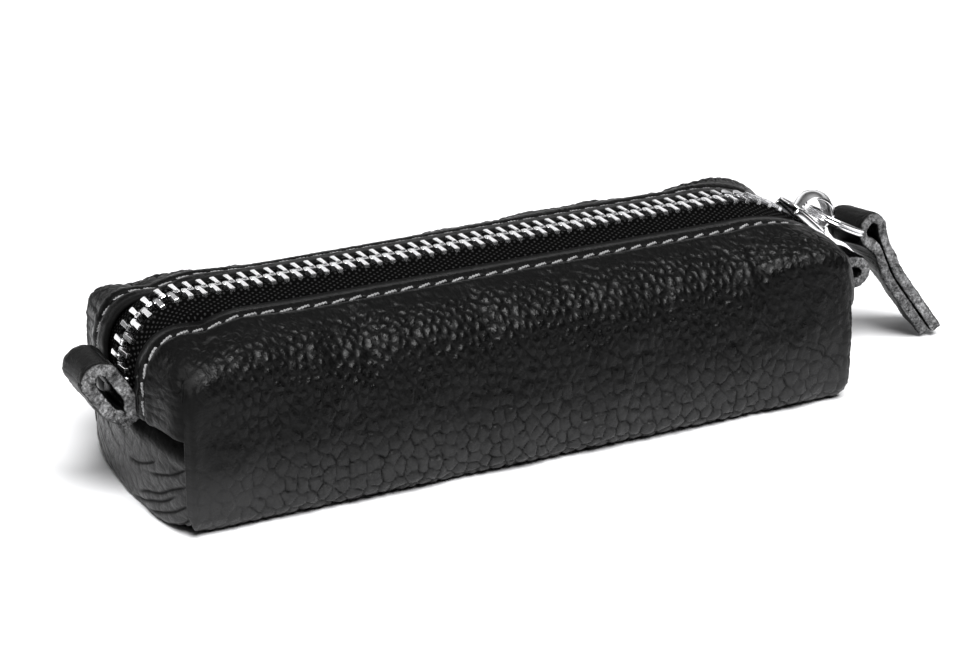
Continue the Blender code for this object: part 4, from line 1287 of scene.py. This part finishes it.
def strip_material():
    """Strip leather: smooth black faces, raw grey fibrous edges."""
    m = Nodes("strip_leather")
    raw = m.attribute("raw")
    fibres = m.noise(1500.0, 5.0, 0.75)
    clumps = m.noise(420.0, 3.0, 0.6)
    speckle = m.maths("ADD", m.maths("MULTIPLY", fibres, 0.65), m.maths("MULTIPLY", clumps, 0.35))
    grey = m.ramp(speckle, (0.36, 0.010), (0.45, 0.10), (0.54, 0.24), (0.66, 0.55))
    color = m.mix(raw, m.ramp(clumps, (0.3, 0.002), (0.7, 0.005)), grey)
    return m.finish(color, m.linear(raw, 0.45, 0.36), m.bump(fibres, 0.00022, 0.8), specular=0.22)


def thread_material():
    """Grey waxed thread."""
    m = Nodes("thread_grey")
    fuzz = m.noise(5200.0, 3.0, 0.6)
    return m.finish(m.ramp(fuzz, (0.3, 0.11), (0.7, 0.50)), m.linear(fuzz, 0.2, 0.55),
                    m.bump(fuzz, 0.00008, 0.8), specular=0.3)


def tape_material():
    """Black zip tape with the diagonal ribs of its weave."""
    m = Nodes("zip_tape")
    uv = m.node("ShaderNodeUVMap", uv_map="weave").outputs["UV"]
    ribs = []
    for turn, scale in ((0.62, 0.33), (-1.05, 0.37)):
        mapping = m.node("ShaderNodeMapping", (("Rotation", (0.0, 0.0, turn)), ("Vector", uv)))
        wave = m.node("ShaderNodeTexWave", (
            ("Scale", scale), ("Distortion", 0.7), ("Detail", 1.0),
            ("Vector", mapping.outputs["Vector"]),
        ), wave_type="BANDS", bands_direction="X", wave_profile="SIN")
        ribs.append(wave.outputs["Fac"])
    cells = m.maths("MULTIPLY", *ribs)
    # Painted shade and painted highlight: the gaps between the weave's ribs are painted near black
    # and the ribs' crossings lighter, standing in for light on the weave; the ribs themselves are
    # real and also set the bump.
    color = m.ramp(cells, (0.10, 0.0005), (0.35, 0.003), (0.75, 0.045))
    rough = m.linear(m.noise(3000.0, 3.0, 0.6), 0.15, 0.74)
    rough = m.maths("SUBTRACT", rough, m.maths("MULTIPLY", cells, 0.26))
    return m.finish(color, rough, m.bump(cells, 0.00040, 1.0), specular=0.07)


def metal_material():
    """Bright nickel with faint brushing and handling marks."""
    m = Nodes("nickel_bright")
    marks = m.noise(700.0, 4.0, 0.6)
    return m.finish(m.ramp(marks, (0.3, 0.84), (0.7, 0.96)), m.linear(marks, 0.12, 0.16),
                    m.bump(marks, 0.00002, 0.4), metallic=1.0)


def cloth_material():
    """Dark plain-woven lining."""
    m = Nodes("lining_weave")
    checker = m.node("ShaderNodeTexChecker", (("Scale", 2400.0), ("Vector", m.place)))
    fuzz = m.noise(1800.0, 3.0, 0.6)
    return m.finish(m.ramp(checker.outputs["Fac"], (0.0, 0.010), (1.0, 0.020)),
                    m.linear(fuzz, 0.15, 0.75), m.bump(fuzz, 0.00015, 0.6), specular=0.2)


def floor_material():
    """Plain pale floor."""
    m = Nodes("pale_floor")
    tone = m.noise(3.0, 2.0, 0.5)
    color, rough = m.ramp(tone, (0.2, 0.90), (0.8, 0.92)), m.ramp(tone, (0.2, 0.88), (0.8, 0.92))
    return m.finish(color, rough, specular=0.1)


# ------------------------------------------------------------ camera, light, floor

CAMERA_AZIMUTH, CAMERA_ELEVATION = 27.28, 21.68
CAMERA_TARGET = Vector((0.00215, 0.0, 0.02024))
CAMERA_DISTANCE = 0.534
SUNS = (("key", 4.4, 34.0, 10.0, 58.0), ("fill", 0.12, 50.0, -70.0, 50.0))
SURROUND = ((0.0, 0.012), (0.06, 0.010), (0.60, 0.02), (0.82, 0.36), (1.0, 0.7))
RIM_PANEL = ((0.10, 0.0), (0.26, 1.2), (0.44, 1.2), (0.56, 0.0))
FLOOR_HALF = 4.0


def toward(azimuth, elevation):
    """The direction that lies azimuth round from the front and elevation up, in degrees."""
    turn, rise = math.radians(azimuth), math.radians(elevation)
    return Vector((-math.sin(turn) * math.cos(rise), -math.cos(turn) * math.cos(rise),
                   math.sin(rise)))


def make_camera():
    data = bpy.data.cameras.new("camera")
    data.lens = 102.5
    data.sensor_width = 36.0
    data.clip_start = 0.01
    made = add_object("camera", data)
    back = toward(CAMERA_AZIMUTH, CAMERA_ELEVATION)
    made.location = CAMERA_TARGET + back * CAMERA_DISTANCE
    made.rotation_euler = back.to_track_quat("Z", "Y").to_euler()
    bpy.context.scene.camera = made


def make_light():
    """Broad soft sun from the front and above, a rim panel, and a dim surround."""
    scene = bpy.context.scene
    scene.view_settings.view_transform = "Standard"
    scene.view_settings.gamma = 0.85
    for name, strength, size, azimuth, elevation in SUNS:
        data = bpy.data.lights.new(name, "SUN")
        data.energy = strength
        data.angle = math.radians(size)
        made = add_object(name, data)
        made.rotation_euler = toward(azimuth, elevation).to_track_quat("Z", "Y").to_euler()
    world = bpy.data.worlds.new("surround")
    world.use_nodes = True
    tree = world.node_tree
    place = tree.nodes.new("ShaderNodeTexCoord")
    split = tree.nodes.new("ShaderNodeSeparateXYZ")
    tree.links.new(place.outputs["Generated"], split.inputs["Vector"])
    behind = tree.nodes.new("ShaderNodeMath")
    behind.operation = "MULTIPLY"
    behind.use_clamp = True
    behind.inputs[1].default_value = 1.6
    tree.links.new(split.outputs["Y"], behind.inputs[0])
    panel = tree.nodes.new("ShaderNodeVectorMath")
    panel.operation = "MULTIPLY_ADD"
    terms = (grey_ramp(tree, split.outputs["Z"], RIM_PANEL), behind.outputs["Value"],
             grey_ramp(tree, split.outputs["Z"], SURROUND))
    for term, socket in zip(terms, panel.inputs):
        tree.links.new(term, socket)
    tree.links.new(panel.outputs["Vector"], tree.nodes["Background"].inputs["Color"])
    scene.world = world


def make_floor():
    half = FLOOR_HALF
    corners = [(-half, -half, 0.0), (half, -half, 0.0), (half, half, 0.0), (-half, half, 0.0)]
    new_object("floor", corners, [(0, 1, 2, 3)], floor_material(), smooth=False)


# ------------------------------------------------------------ everything

def main():
    make_camera()
    make_light()
    make_floor()
    leather, strip, thread = leather_material(), strip_material(), thread_material()
    tape, metal, cloth = tape_material(), metal_material(), cloth_material()
    make_hide(leather)
    zip_parts("tape", make_tape, tape, "zipper_tape")
    zip_parts("comb", make_teeth, metal, "teeth")
    zip_parts("thread", make_stitches, thread, "stitching")
    make_slider(metal)
    make_ring(metal)
    make_straps(strip)
    make_lining(cloth)
    for node in ("lock_pawl", "bottom_stop", "front_top_stop", "back_top_stop"):
        shown = frame["nodes"][node]
        shown.data.materials.clear()
        shown.data.materials.append(metal)


main()
